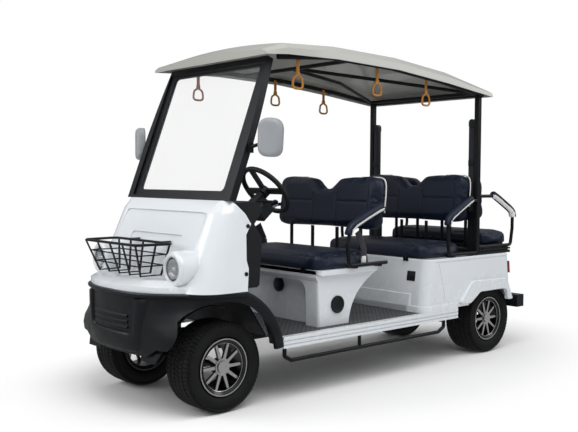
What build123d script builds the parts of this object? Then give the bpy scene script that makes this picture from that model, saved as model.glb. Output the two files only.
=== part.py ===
from build123d import *
import os

# Overall layout in millimetres: X forward, Y to the left, Z up from the ground
HALF_LENGTH = 1505
FRONT_AXLE_X = 1100
WHEELBASE = 2240
REAR_AXLE_X = FRONT_AXLE_X - WHEELBASE
WHEEL_Y = 360
SIDES = {"left": 1, "right": -1}
AXLES = {"front": FRONT_AXLE_X, "rear": REAR_AXLE_X}

# Wheels and tyres
TYRE_R = 229.5
TYRE_HALF_W = 100
BEAD_R = 128.7
LIP_R = 145
RIM_HALF_W = 88
SPOKES = 10
HUB_Z = TYRE_R
STUB_R = 15
RUNNING_FIT = 0.06
STUB_END = WHEEL_Y + 62

# Steering
KINGPIN_Y = 232
KINGPIN_R = 9
ARM_LENGTH = 110
BALL_PIN_R = 6
COLUMN_TILT = 50
WHEEL_CENTRE = (649, 220, 1107)
STEER_R = 152
STEER_GRIP_R = 14
SHAFT_R = 9

# Floor, frame and sills
FLOOR_TOP = 345
FLOOR_T = 10
FLOOR_FRONT = 790
FLOOR_HALF_W = 468
SILL_OUT = 505
SILL_FRONT = 755
SILL_REAR = -730
SILL_LOW = 285
RAIL_LOW = 285
RAIL_H = FLOOR_TOP - FLOOR_T - RAIL_LOW
RAIL_HALF_W = 22
FRONT_RAIL_Y = 105
MAIN_RAIL_Y = 185
BUMPER_PAD_X = 1452

# Panels
WALL = 8
GAP = 0.3
COWL_LOW = 615
COWL_TOP = 1061
LIP_R_BEAD = 12
ARCH_X = FRONT_AXLE_X + 45
ARCH_Z = 250
ARCH_R = 320
FENDER_R = 384

# Windscreen, raked about its lower edge
SCREEN_X = 1075
SCREEN_Z = 1066
SCREEN_RAKE = 20.55
SCREEN_H = 781
SCREEN_HALF_W = 484
PILLAR_W = 48
SCREEN_OPEN_HALF_W = 392
GLASS_T = 6

# Roof and its posts
ROOF_T = 5
POST_X = -966
POST_Y = 465
POST_W = 32
RAIL_Y = 470
ROOF_TUBE_R = 14

# Seats
CUSHION_HALF_W = 430
BOARD_T = 13
BOARD_HALF_W = 405
BACK_HALF_W = 447
BACK_T = 85
ARM_Y = 473
ARM_R = 11
PAD_HALF_W = 22
HINGE_Y = 314
HINGE_PIN_R = 3
HINGE_BARREL_R = 6
SEAT_BASE_TOP = 665
REAR_BODY_TOP = 673

# Rear body
BODY_FRONT = -400
RISER_X = -441
BODY_REAR = -1350
BODY_HALF_W = 490
FLARE_OUT = 512

os.makedirs("parts", exist_ok=True)


# Basic shapes shared by many pieces
def block(x, y, z, mode=Mode.ADD):
    with Locations(((x[0] + x[1]) / 2, (y[0] + y[1]) / 2, (z[0] + z[1]) / 2)):
        Box(abs(x[1] - x[0]), abs(y[1] - y[0]), abs(z[1] - z[0]), mode=mode)


def rod(start, end, radius, mode=Mode.ADD):
    axis = Vector(*end) - Vector(*start)
    with BuildSketch(Plane(origin=start, z_dir=axis)) as disc:
        Circle(radius)
    extrude(disc.sketch, amount=axis.length, mode=mode)


def tube(points, radius, bend):
    with BuildLine() as path:
        FilletPolyline(*points, radius=bend)
    with BuildSketch(Plane(origin=path.line @ 0, z_dir=path.line % 0)) as disc:
        Circle(radius)
    sweep(disc.sketch, path=path.line)


def side_plate(points, y, mode=Mode.ADD):
    with BuildSketch(Plane.XZ.offset(-max(y))) as outline:
        with BuildLine():
            Polyline(*points, close=True)
        make_face()
    extrude(outline.sketch, amount=abs(y[1] - y[0]), mode=mode)


def finish(builder, name):
    builder.part.label = name
    export_step(builder.part, f"parts/{name}.step")


# Wheels: a tyre ring on a barrel with ten spokes and a hub
for axle, axle_x in AXLES.items():
    for side, s in SIDES.items():
        hub = (axle_x, s * WHEEL_Y, HUB_Z)
        spin = Axis(hub, (0, 1, 0))
        section = Plane(origin=hub, x_dir=(0, s, 0), z_dir=(1, 0, 0))
        with BuildPart() as tyre:
            with BuildSketch(section):
                with BuildLine():
                    Polyline((-70, BEAD_R + GAP), (-70, 149), (-92, 160), (-TYRE_HALF_W, 184), (-97, 209))
                    Polyline((-97, 209), (-80, 226), (-58, TYRE_R), (58, TYRE_R), (80, 226), (97, 209))
                    Polyline((97, 209), (TYRE_HALF_W, 184), (92, 160), (70, 149), (70, BEAD_R + GAP))
                    Line((70, BEAD_R + GAP), (-70, BEAD_R + GAP))
                make_face()
            revolve(axis=spin)
        finish(tyre, f"tyre_{axle}_{side}")

        with BuildPart() as rim:
            with BuildSketch(section):
                with BuildLine():
                    Polyline((-RIM_HALF_W, LIP_R), (-83, LIP_R), (-74, BEAD_R), (74, BEAD_R), (83, LIP_R))
                    Polyline((83, LIP_R), (RIM_HALF_W, LIP_R), (RIM_HALF_W, 137), (78, 120), (-78, 120))
                    Polyline((-78, 120), (-RIM_HALF_W, 137), (-RIM_HALF_W, LIP_R))
                make_face()
            revolve(axis=spin)
            face_plane = Plane(origin=hub, x_dir=(1, 0, 0), z_dir=(0, s, 0))
            with BuildSketch(face_plane.offset(56)):
                with PolarLocations(0, SPOKES):
                    Polygon((30, -9), (124, -6.5), (124, 6.5), (30, 9), align=None)
            extrude(amount=15)
            with BuildSketch(face_plane.offset(34)):
                Circle(44)
            extrude(amount=40)
            with BuildSketch(face_plane.offset(74)):
                Circle(31)
            extrude(amount=7)
            with BuildSketch(face_plane.offset(34)):
                Circle(STUB_R + RUNNING_FIT)
            extrude(amount=32, mode=Mode.SUBTRACT)
        finish(rim, f"rim_{axle}_{side}")

# Steering knuckles: boss on the kingpin, stub axle and a trailing arm with its ball pin
for side, s in SIDES.items():
    with BuildPart() as knuckle:
        rod((FRONT_AXLE_X, s * KINGPIN_Y, HUB_Z - 38), (FRONT_AXLE_X, s * KINGPIN_Y, HUB_Z + 38), 21)
        rod((FRONT_AXLE_X, s * KINGPIN_Y, HUB_Z), (FRONT_AXLE_X, s * STUB_END, HUB_Z), STUB_R)
        arm_x = FRONT_AXLE_X - ARM_LENGTH
        block((arm_x - 11, FRONT_AXLE_X), (s * KINGPIN_Y - 11, s * KINGPIN_Y + 11), (HUB_Z - 38, HUB_Z - 24))
        rod((arm_x, s * KINGPIN_Y, HUB_Z - 38), (arm_x, s * KINGPIN_Y, HUB_Z - 60), BALL_PIN_R)
        bottom = (FRONT_AXLE_X, s * KINGPIN_Y, HUB_Z - 45)
        top = (FRONT_AXLE_X, s * KINGPIN_Y, HUB_Z + 45)
        rod(bottom, top, KINGPIN_R + RUNNING_FIT, mode=Mode.SUBTRACT)
    finish(knuckle, f"knuckle_{side}")

# Tie rod between the two ball pins
with BuildPart() as tie_rod:
    rod_x = FRONT_AXLE_X - ARM_LENGTH
    rod((rod_x, -KINGPIN_Y, HUB_Z - 50), (rod_x, KINGPIN_Y, HUB_Z - 50), 7)
    for s in SIDES.values():
        rod((rod_x, s * KINGPIN_Y, HUB_Z - 60), (rod_x, s * KINGPIN_Y, HUB_Z - 40), 13)
        bottom = (rod_x, s * KINGPIN_Y, HUB_Z - 70)
        rod(bottom, (rod_x, s * KINGPIN_Y, HUB_Z - 30), BALL_PIN_R + RUNNING_FIT, mode=Mode.SUBTRACT)
finish(tie_rod, "tie_rod")

# Front axle beam with a fork and kingpin at each end
with BuildPart() as front_axle:
    block((FRONT_AXLE_X - 22, FRONT_AXLE_X + 22), (-195, 195), (HUB_Z - 22, HUB_Z + 22))
    for s in SIDES.values():
        block((FRONT_AXLE_X - 20, FRONT_AXLE_X + 20), (s * 180, s * 204), (HUB_Z - 54, HUB_Z + 54))
        for low in (HUB_Z - 54, HUB_Z + 39):
            block((FRONT_AXLE_X - 20, FRONT_AXLE_X + 20), (s * 200, s * KINGPIN_Y), (low, low + 15))
            rod((FRONT_AXLE_X, s * KINGPIN_Y, low), (FRONT_AXLE_X, s * KINGPIN_Y, low + 15), 20)
        bottom = (FRONT_AXLE_X, s * KINGPIN_Y, HUB_Z - 54)
        rod(bottom, (FRONT_AXLE_X, s * KINGPIN_Y, HUB_Z + 54), KINGPIN_R)
finish(front_axle, "front_axle")

# Rear axle: tube, gear case and stub shafts
REAR_PAD = 36
with BuildPart() as rear_axle:
    rod((REAR_AXLE_X, -262, HUB_Z), (REAR_AXLE_X, 262, HUB_Z), 33)
    rod((REAR_AXLE_X, -STUB_END, HUB_Z), (REAR_AXLE_X, STUB_END, HUB_Z), STUB_R)
    rod((REAR_AXLE_X, -62, HUB_Z), (REAR_AXLE_X, 62, HUB_Z), 78)
    for s in SIDES.values():
        rod((REAR_AXLE_X, s * 250, HUB_Z), (REAR_AXLE_X, s * 268, HUB_Z), 52)
        pad_y = (s * MAIN_RAIL_Y - 22, s * MAIN_RAIL_Y + 22)
        block((REAR_AXLE_X - 30, REAR_AXLE_X + 30), pad_y, (HUB_Z, HUB_Z + REAR_PAD))
finish(rear_axle, "rear_axle")

# Drive motor ahead of the gear case
with BuildPart() as drive_motor:
    rod((REAR_AXLE_X + 78 + GAP, 0, HUB_Z), (REAR_AXLE_X + 320, 0, HUB_Z), 82)
    rod((REAR_AXLE_X + 320, 0, HUB_Z), (REAR_AXLE_X + 334, 0, HUB_Z), 60)
finish(drive_motor, "drive_motor")

# Leaf springs, two on each axle, as slightly bowed bars with rolled eyes
SPRINGS = [(FRONT_AXLE_X, FRONT_RAIL_Y, HUB_Z + 22), (REAR_AXLE_X, MAIN_RAIL_Y, HUB_Z + REAR_PAD)]
SPRING_HALF = 215
SPRING_T = 9
EYE_PIN_R = 4
with BuildPart() as leaf_springs:
    for spring_x, spring_y, low in SPRINGS:
        for s in SIDES.values():
            with BuildSketch(Plane.XZ.offset(-s * spring_y - 20)):
                with BuildLine():
                    Polyline((spring_x - SPRING_HALF, low + 4), (spring_x - 60, low), (spring_x + 60, low))
                    Polyline((spring_x + 60, low), (spring_x + SPRING_HALF, low + 4))
                    Line((spring_x + SPRING_HALF, low + 4), (spring_x + SPRING_HALF, low + 4 + SPRING_T))
                    Polyline((spring_x + SPRING_HALF, low + 4 + SPRING_T), (spring_x, low + 2 * SPRING_T))
                    Polyline((spring_x, low + 2 * SPRING_T), (spring_x - SPRING_HALF, low + 4 + SPRING_T))
                    Line((spring_x - SPRING_HALF, low + 4 + SPRING_T), (spring_x - SPRING_HALF, low + 4))
                make_face()
            extrude(amount=40)
            for end in (-1, 1):
                eye_x = spring_x + end * SPRING_HALF
                rod((eye_x, s * spring_y - 20, low + 8), (eye_x, s * spring_y + 20, low + 8), 9)
                start = (eye_x, s * spring_y - 21, low + 8)
                rod(start, (eye_x, s * spring_y + 21, low + 8), EYE_PIN_R + RUNNING_FIT, mode=Mode.SUBTRACT)
finish(leaf_springs, "leaf_springs")

# Ladder frame: narrow front rails, wide main rails, cross members, spring hangers and outriggers
with BuildPart() as chassis_frame:
    for s in SIDES.values():
        front_y = (s * FRONT_RAIL_Y - RAIL_HALF_W, s * FRONT_RAIL_Y + RAIL_HALF_W)
        block((740, 1400), front_y, (RAIL_LOW, RAIL_LOW + RAIL_H))
        main_y = (s * MAIN_RAIL_Y - RAIL_HALF_W, s * MAIN_RAIL_Y + RAIL_HALF_W)
        block((-1400, 780), main_y, (RAIL_LOW, RAIL_LOW + RAIL_H))
        for outrigger_x in (560, 60, -440, -690):
            outrigger_y = (s * MAIN_RAIL_Y, s * (FLOOR_HALF_W - 1))
            block((outrigger_x - 18, outrigger_x + 18), outrigger_y, (RAIL_LOW + 10, RAIL_LOW + RAIL_H))
        for spring_x, spring_y, low in SPRINGS:
            for end in (-1, 1):
                eye_x = spring_x + end * SPRING_HALF
                for flank in (-1, 1):
                    face_y = s * spring_y + flank * 20.5
                    block((eye_x - 14, eye_x + 14), (face_y, face_y + flank * 6), (low - 4, RAIL_LOW + 15))
    for cross_x in (760, 300, -300, -780, -1380):
        block((cross_x - 20, cross_x + 20), (-MAIN_RAIL_Y, MAIN_RAIL_Y), (RAIL_LOW, RAIL_LOW + RAIL_H))
    block((1360, 1400), (-FRONT_RAIL_Y, FRONT_RAIL_Y), (RAIL_LOW, RAIL_LOW + RAIL_H))
    for s in SIDES.values():
        block((1390, BUMPER_PAD_X), (s * 87, s * 123), (304, 333))
    for spring_x, spring_y, low in SPRINGS:
        for s in SIDES.values():
            for end in (-1, 1):
                eye_x = spring_x + end * SPRING_HALF
                eye_y = (s * spring_y - 20.5, s * spring_y + 20.5)
                block((eye_x - 11, eye_x + 11), eye_y, (low - 6, RAIL_LOW), mode=Mode.SUBTRACT)
                rod((eye_x, s * spring_y - 24, low + 8), (eye_x, s * spring_y + 24, low + 8), EYE_PIN_R)
finish(chassis_frame, "chassis_frame")

# Floor plate
with BuildPart() as floor_plate:
    floor_z = (FLOOR_TOP - FLOOR_T, FLOOR_TOP)
    block((BODY_FRONT - 40, SILL_FRONT), (-FLOOR_HALF_W, FLOOR_HALF_W), floor_z)
    block((SILL_FRONT, FLOOR_FRONT), (-394, 394), floor_z)
finish(floor_plate, "floor_plate")

# Sills: ribbed edge mouldings along both sides of the floor
with BuildPart() as side_sills:
    for s in SIDES.values():
        inner = s * (FLOOR_HALF_W + 1)
        outer = s * SILL_OUT
        block((SILL_REAR, SILL_FRONT), (inner, outer), (SILL_LOW, FLOOR_TOP))
        for groove_z in (303, 324):
            groove_y = (outer - s * 5, outer + s * 5)
            block((SILL_REAR - 5, SILL_FRONT + 5), groove_y, (groove_z - 3, groove_z + 3), mode=Mode.SUBTRACT)
finish(side_sills, "side_sills")

# Low side bars hung under the sills
BAR_Z = 214
with BuildPart() as side_bars:
    for s in SIDES.values():
        bar_y = s * 490
        front_end = [(738, bar_y, SILL_LOW), (738, bar_y, 240), (690, bar_y, BAR_Z)]
        rear_end = [(-545, bar_y, BAR_Z), (-600, bar_y, 240), (-600, bar_y, SILL_LOW)]
        tube(front_end + rear_end, 11, 18)
        rod((170, bar_y, BAR_Z), (170, bar_y, SILL_LOW), 10)
finish(side_bars, "side_bars")


# Plan outline of the bumper and nose, pulled in by an inset
def nose_plan(inset, back_x, z):
    front = HALF_LENGTH - inset
    with BuildSketch(Plane.XY.offset(z)) as plan:
        with BuildLine() as half:
            ThreePointArc((front, 0), (front - 14, 180), (1440 - inset, 320 - inset * 0.4))
            ThreePointArc(half.line @ 1, (1302 - inset * 0.7, 453 - inset * 0.7), (1180 - inset * 0.3, 520 - inset))
            ThreePointArc(half.line @ 1, (1050, 550 - inset), (900, 540 - inset))
            Line(half.line @ 1, (back_x, 535 - inset))
            Line(half.line @ 1, (back_x, 0))
            mirror(about=Plane.XZ)
        make_face()
    return plan.sketch


# Front bumper: rolled lip, skirt, raised centre panel with slats, and fenders over the wheels
LIP_Z = COWL_LOW - LIP_R_BEAD
with BuildPart() as front_bumper:
    extrude(nose_plan(0, 880, LIP_Z - LIP_R_BEAD), amount=2 * LIP_R_BEAD)
    extrude(nose_plan(22, 880, 300), amount=LIP_Z - 300)
    extrude(nose_plan(22 + WALL, 700, 200), amount=500, mode=Mode.SUBTRACT)
    with BuildSketch(Plane.XZ.offset(-600)):
        with Locations((ARCH_X, ARCH_Z)):
            Circle(ARCH_R)
    extrude(amount=1200, mode=Mode.SUBTRACT)
    block((860, 1030), (-600, 600), (100, 700), mode=Mode.SUBTRACT)
    for s in SIDES.values():
        with BuildSketch(Plane.XZ.offset(-max(s * 405, s * 528))):
            with Locations((ARCH_X, ARCH_Z)):
                Circle(FENDER_R)
                Circle(ARCH_R, mode=Mode.SUBTRACT)
            with Locations((ARCH_X + 200, ARCH_Z)):
                Rectangle(400 + 230, 1000, mode=Mode.SUBTRACT)
        extrude(amount=123)
        with BuildSketch(Plane.XZ.offset(-max(s * 390, s * 520))):
            with Locations((ARCH_X, ARCH_Z)):
                Circle(FENDER_R - WALL)
                Circle(ARCH_R - 2, mode=Mode.SUBTRACT)
            with Locations((ARCH_X + 200, ARCH_Z)):
                Rectangle(400 + 230, 1000, mode=Mode.SUBTRACT)
        extrude(amount=130, mode=Mode.SUBTRACT)
    block((700, 1600), (-600, 600), (COWL_LOW, 900), mode=Mode.SUBTRACT)
    block((700, 1600), (-600, 600), (-200, 300), mode=Mode.SUBTRACT)
    for s in SIDES.values():
        block((BUMPER_PAD_X, 1474), (s * 85, s * 125), (302, 335))
finish(front_bumper, "front_bumper")

# Front cowl: moulded shell with a ledge, lamp pods, a stepped face and a recess
COWL_SECTIONS = [(COWL_LOW, 1322, 546, 150), (1001, 1159, 500, 110), (COWL_TOP, 1105, 480, 70)]
LAMP_X = 1352
LAMP_Y = 358
LAMP_Z = 731
LAMP_R = 52
POD_R = 88


def cowl_x(z):
    low, high = COWL_SECTIONS[:2]
    return low[1] + (high[1] - low[1]) * (z - low[0]) / (high[0] - low[0])


def cowl_body(inset, low_drop):
    sections = []
    for section_z, front_x, half_w, corner in COWL_SECTIONS:
        drop = low_drop if section_z == COWL_LOW else inset
        with BuildSketch(Plane.XY.offset(section_z - drop)) as section:
            with Locations(((940 + front_x - inset) / 2, 0)):
                Rectangle(front_x - inset - 940, 2 * (half_w - inset))
            fillet(section.vertices().group_by(Axis.X)[-1], corner - inset)
        sections.append(section.sketch)
    return sections


with BuildPart() as front_cowl:
    loft(cowl_body(0, 0), ruled=True)
    extrude(nose_plan(14, 940, COWL_LOW), amount=28)
    loft([nose_plan(14, 940, COWL_LOW + 28), nose_plan(60, 940, COWL_LOW + 56)], ruled=True)
    for s in SIDES.values():
        rod((1120, s * LAMP_Y, LAMP_Z), (LAMP_X, s * LAMP_Y, LAMP_Z), POD_R)
    lamp_faces = front_cowl.faces().filter_by(GeomType.PLANE).filter_by_position(Axis.X, LAMP_X - 1, LAMP_X + 1)
    fillet(lamp_faces.edges().filter_by(GeomType.CIRCLE), 18)
    loft(cowl_body(WALL, WALL * 2), ruled=True, mode=Mode.SUBTRACT)
    extrude(nose_plan(14 + WALL, 900, COWL_LOW - 10), amount=38, mode=Mode.SUBTRACT)
    for s in SIDES.values():
        rod((1100, s * LAMP_Y, LAMP_Z), (LAMP_X - 34, s * LAMP_Y, LAMP_Z), POD_R - WALL, mode=Mode.SUBTRACT)
        rod((LAMP_X - 26, s * LAMP_Y, LAMP_Z), (LAMP_X + 9, s * LAMP_Y, LAMP_Z), LAMP_R + 8, mode=Mode.SUBTRACT)
    edge = [(1074, 1080), (1074, COWL_TOP), (1008, 993), (978, 945), (1014, 893), (1023, 767), (1013, 726)]
    side_plate(edge + [(1028, 627), (1028, 500), (800, 500), (800, 1080)], (-700, 700), mode=Mode.SUBTRACT)
finish(front_cowl, "front_cowl")

# Headlamps: lens and bezel in each pod
with BuildPart() as headlamps:
    for s in SIDES.values():
        rod((LAMP_X - 25, s * LAMP_Y, LAMP_Z), (LAMP_X - 8, s * LAMP_Y, LAMP_Z), LAMP_R + 7)
        rod((LAMP_X - 8, s * LAMP_Y, LAMP_Z), (LAMP_X - 2, s * LAMP_Y, LAMP_Z), LAMP_R - 4)
finish(headlamps, "headlamps")

# Wire basket: rim, flat hoops and cross wires
RIM_Z = 846
FLOOR_WIRE_Z = 690
with BuildPart() as front_basket:
    for s in SIDES.values():
        tube([(1290, 0, RIM_Z), (1290, s * 278, RIM_Z), (1490, s * 255, RIM_Z), (1490, 0, RIM_Z)], 7, 30)
    for hoop_y in (-250, -125, 0, 125, 250):
        low_y = hoop_y * 0.82
        for x_top, x_low in ((1488, 1432), (1290, 1312)):
            with BuildSketch(Plane.XY.offset(RIM_Z)):
                with Locations((x_top, hoop_y)):
                    Rectangle(5, 13)
            with BuildSketch(Plane.XY.offset(FLOOR_WIRE_Z)):
                with Locations((x_low, low_y)):
                    Rectangle(5, 13)
            loft()
        block((1310, 1434), (low_y - 6.5, low_y + 6.5), (FLOOR_WIRE_Z - 5, FLOOR_WIRE_Z))
    for s in SIDES.values():
        bracket = [(1292, RIM_Z - 5), (1292, RIM_Z + 5), (cowl_x(RIM_Z + 5), RIM_Z + 5), (cowl_x(RIM_Z - 5), RIM_Z - 5)]
        side_plate(bracket, (s * 150 - 9, s * 150 + 9))
    for share in (0.35, 0.7):
        wire_z = RIM_Z + (FLOOR_WIRE_Z - RIM_Z) * share
        wire_y = 250 * (1 - 0.18 * share)
        front = 1488 - 56 * share
        back = 1290 + 22 * share
        for wire_x in (front, back):
            block((wire_x - 3, wire_x + 3), (-wire_y, wire_y), (wire_z - 3, wire_z + 3))
        for s in SIDES.values():
            block((back, front), (s * wire_y - 3, s * wire_y + 3), (wire_z - 3, wire_z + 3))
finish(front_basket, "front_basket")

# Rear face of the toe board and firewall at a height
TOE_KNEE = 610
DASH_LOW = 945
TOE_FOOT_X = FLOOR_FRONT - 6
TOE_KNEE_X = 962
TOE_T = 10


def toe_x(z):
    if z <= TOE_KNEE:
        return TOE_FOOT_X + (TOE_KNEE_X - TOE_FOOT_X) * (z - FLOOR_TOP) / (TOE_KNEE - FLOOR_TOP)
    return TOE_KNEE_X + 72 * (z - TOE_KNEE) / (DASH_LOW - TOE_KNEE)


# Dash: side cheeks, upper box and the sloping toe board
with BuildPart() as dash_panel:
    cheek = [(1062, 1048), (910, 1056), (870, 1014), (924, 941), (874, 868), (890, 628), (905, 617), (1012, 617)]
    for s in SIDES.values():
        side_plate(cheek + [(1040, 900)], (s * 440, s * 466))
    side_plate([(1062, 1048), (910, 1056), (870, 1014), (924, 941), (1044, 941)], (-445, 445))
    side_plate([(1080, 1036), (925, 1044), (890, 1012), (935, 952), (1080, 952)], (-430, 430), mode=Mode.SUBTRACT)
    rear_face = [(toe_x(z), z) for z in (FLOOR_TOP, TOE_KNEE, DASH_LOW)]
    side_plate(rear_face + [(x + TOE_T, z) for x, z in reversed(rear_face)], (-394, 394))
    upper = [(toe_x(z), z) for z in (680, DASH_LOW)]
    side_plate(upper + [(x + TOE_T, z) for x, z in reversed(upper)], (-445, 445))
finish(dash_panel, "dash_panel")

# Steering column with its shroud, instrument hood and lever
wheel_plane = Plane(origin=WHEEL_CENTRE, x_dir=(0, 1, 0), z_dir=Vector(-1, 0, 0).rotate(Axis.Y, 90 - COLUMN_TILT))
with BuildPart() as steering_column:
    with BuildSketch(wheel_plane.offset(-520)):
        Circle(24)
    extrude(amount=480)
    ahead = [(toe_x(TOE_KNEE), TOE_KNEE), (toe_x(DASH_LOW), DASH_LOW), (1300, DASH_LOW), (1300, TOE_KNEE)]
    side_plate(ahead, (WHEEL_CENTRE[1] - 60, WHEEL_CENTRE[1] + 60), mode=Mode.SUBTRACT)
    with BuildSketch(wheel_plane.offset(-40)):
        Circle(SHAFT_R)
    extrude(amount=38)
    with BuildSketch(wheel_plane.offset(-150)):
        with Locations((0, 46)):
            RectangleRounded(150, 92, 20)
    extrude(amount=85)
    with BuildSketch(wheel_plane.offset(-95)):
        with Locations((70, 0)):
            Rectangle(140, 10)
    extrude(amount=10)
finish(steering_column, "steering_column")

# Steering wheel: rim, three spokes and a hub
with BuildPart() as steering_wheel:
    with BuildSketch(Plane(origin=wheel_plane.origin, x_dir=wheel_plane.x_dir, z_dir=wheel_plane.y_dir)):
        with Locations((STEER_R, 0)):
            Circle(STEER_GRIP_R)
    revolve(axis=Axis(wheel_plane.origin, wheel_plane.z_dir))
    with BuildSketch(wheel_plane.offset(-34)):
        Circle(34)
    extrude(amount=40)
    for angle in (0, 180, 270):
        with BuildSketch(wheel_plane.offset(-12)):
            with Locations(Location((0, 0, 0), (0, 0, angle))):
                with Locations((STEER_R / 2 + 8, 0)):
                    Rectangle(STEER_R - 16, 34)
        extrude(amount=14)
    with BuildSketch(wheel_plane.offset(-40)):
        Circle(SHAFT_R + RUNNING_FIT)
    extrude(amount=40, mode=Mode.SUBTRACT)
finish(steering_wheel, "steering_wheel")

# Foot pedals on the toe board
with BuildPart() as foot_pedals:
    for pedal_y in (140, 250):
        side_plate([(868, 500), (880, 505), (845, 575), (833, 570)], (pedal_y - 35, pedal_y + 35))
        side_plate([(862, 540), (868, 530), (toe_x(552), 552), (toe_x(566), 566)], (pedal_y - 8, pedal_y + 8))
finish(foot_pedals, "foot_pedals")

# Windscreen: raked pillars and surround, with the glass between them
screen_normal = Vector(1, 0, 0).rotate(Axis.Y, -SCREEN_RAKE)
screen_plane = Plane(origin=(SCREEN_X, 0, SCREEN_Z), x_dir=(0, 1, 0), z_dir=screen_normal)
GLASS_LOW = 42
GLASS_HIGH = SCREEN_H - 48
with BuildPart() as windscreen_frame:
    with BuildSketch(screen_plane.offset(-20)):
        with Locations((0, SCREEN_H / 2 - 15)):
            Rectangle(2 * SCREEN_HALF_W, SCREEN_H + 30)
        with Locations((0, (GLASS_LOW + GLASS_HIGH) / 2)):
            RectangleRounded(2 * SCREEN_OPEN_HALF_W, GLASS_HIGH - GLASS_LOW, 25, mode=Mode.SUBTRACT)
    extrude(amount=40)
    for face_side in (20, -20 - 14):
        with BuildSketch(screen_plane.offset(face_side if face_side < 0 else 8)):
            with Locations((0, SCREEN_H / 2 - 15)):
                Rectangle(2 * (SCREEN_HALF_W - PILLAR_W), SCREEN_H - 40)
            with Locations((0, (GLASS_LOW + GLASS_HIGH) / 2)):
                RectangleRounded(2 * SCREEN_OPEN_HALF_W, GLASS_HIGH - GLASS_LOW, 25, mode=Mode.SUBTRACT)
        extrude(amount=26, mode=Mode.SUBTRACT)
    with BuildSketch(screen_plane.offset(-GLASS_T / 2 - GAP)):
        with Locations((0, (GLASS_LOW + GLASS_HIGH) / 2)):
            Rectangle(2 * SCREEN_OPEN_HALF_W + 24, GLASS_HIGH - GLASS_LOW + 24)
    extrude(amount=GLASS_T + 2 * GAP, mode=Mode.SUBTRACT)
    block((900, 1200), (-600, 600), (900, COWL_TOP), mode=Mode.SUBTRACT)
finish(windscreen_frame, "windscreen_frame")

with BuildPart() as windscreen_glass:
    with BuildSketch(screen_plane.offset(-GLASS_T / 2)):
        with Locations((0, (GLASS_LOW + GLASS_HIGH) / 2)):
            Rectangle(2 * SCREEN_OPEN_HALF_W + 22, GLASS_HIGH - GLASS_LOW + 22)
    extrude(amount=GLASS_T)
finish(windscreen_glass, "windscreen_glass")

# Door mirrors on short arms from the pillars
MIRROR = (941, 605, 1375)
MIRROR_W = 135
MIRROR_H = 190
with BuildPart() as mirror_arms:
    for s in SIDES.values():
        block((955, 985), (s * (SCREEN_HALF_W + GAP), s * (SCREEN_HALF_W + 12)), (1300, 1350))
        arm_end = (948, s * (MIRROR[1] - MIRROR_W / 2 - GAP), 1340)
        tube([(972, s * 492, 1328), (948, s * 515, 1340), arm_end], 9, 8)
finish(mirror_arms, "mirror_arms")
with BuildPart() as mirror_shells:
    for s in SIDES.values():
        with BuildSketch(Plane.YZ.offset(MIRROR[0] - 28)):
            with Locations((s * MIRROR[1], MIRROR[2])):
                RectangleRounded(MIRROR_W, MIRROR_H, 45)
        extrude(amount=56)
finish(mirror_shells, "mirror_shells")

# Roof: crowned shell with a rolled skirt, lofted through stations along its length
ROOF = [
    dict(x=891, low=1797, skirt=1824, crown=1842, half_w=520),
    dict(x=760, low=1806, skirt=1868, crown=1893, half_w=540),
    dict(x=400, low=1815, skirt=1888, crown=1919, half_w=540),
    dict(x=-100, low=1803, skirt=1878, crown=1913, half_w=540),
    dict(x=-565, low=1763, skirt=1836, crown=1874, half_w=540),
    dict(x=-1030, low=1713, skirt=1756, crown=1792, half_w=536),
]


def roof_body(inset, drop, grow):
    sections = []
    for i, station in enumerate(ROOF):
        x = station["x"] + (grow if i == 0 else -grow if i == len(ROOF) - 1 else 0)
        half_w = station["half_w"] - inset
        skirt = station["skirt"] - inset
        shoulder = (skirt - station["low"]) * 0.55 + station["low"]
        with BuildSketch(Plane.YZ.offset(x)) as section:
            with BuildLine():
                Polyline((-half_w + 7, shoulder), (-half_w, station["low"] - drop), (half_w, station["low"] - drop))
                Line((half_w, station["low"] - drop), (half_w - 7, shoulder))
                Line((half_w - 7, shoulder), (half_w - 45, skirt))
                ThreePointArc((half_w - 45, skirt), (0, station["crown"] - inset), (45 - half_w, skirt))
                Line((45 - half_w, skirt), (-half_w + 7, shoulder))
            make_face()
        sections.append(section.sketch)
    return sections


with BuildPart() as roof_shell:
    loft(roof_body(0, 0, 0), ruled=True)
    loft(roof_body(ROOF_T, 10, -ROOF_T), ruled=True, mode=Mode.SUBTRACT)
finish(roof_shell, "roof_shell")

# Roof frame: side rails, cross bars, diagonal braces and the rear posts
with BuildPart() as roof_frame:
    rails = [(776, 1799), (400, 1833), (-100, 1821), (-565, 1780), (-1000, 1727)]
    for s in SIDES.values():
        tube([(x, s * RAIL_Y, z) for x, z in rails], ROOF_TUBE_R, 300)
        for x, z in rails[1:4]:
            block((x - 15, x + 15), (s * RAIL_Y, s * 528.5), (z - 8, z + 8))
        block((POST_X - 16, POST_X + 16), (s * POST_Y - 16, s * POST_Y + 16), (REAR_BODY_TOP, 1731))
        tube([(250, s * 12, 1830), (-300, s * 150, 1800), (-952, s * POST_Y, 1732)], 11, 200)
    for bar_x, bar_z in ((250, 1830), (-935, 1735), (-995, 1728)):
        rod((bar_x, -RAIL_Y, bar_z), (bar_x, RAIL_Y, bar_z), 12)
finish(roof_frame, "roof_frame")

# Belt columns beside the rear posts
with BuildPart() as belt_columns:
    for s in SIDES.values():
        column_y = (s * (POST_Y - 17 - 46), s * (POST_Y - 17))
        block((POST_X - 16, POST_X + 10), column_y, (REAR_BODY_TOP, 1530))
        with BuildSketch(Plane.YZ.offset(POST_X - 20)):
            with Locations((s * (POST_Y - 17 - 23), 1540)):
                SlotOverall(62, 46, rotation=90)
        extrude(amount=34)
finish(belt_columns, "belt_columns")

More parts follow.
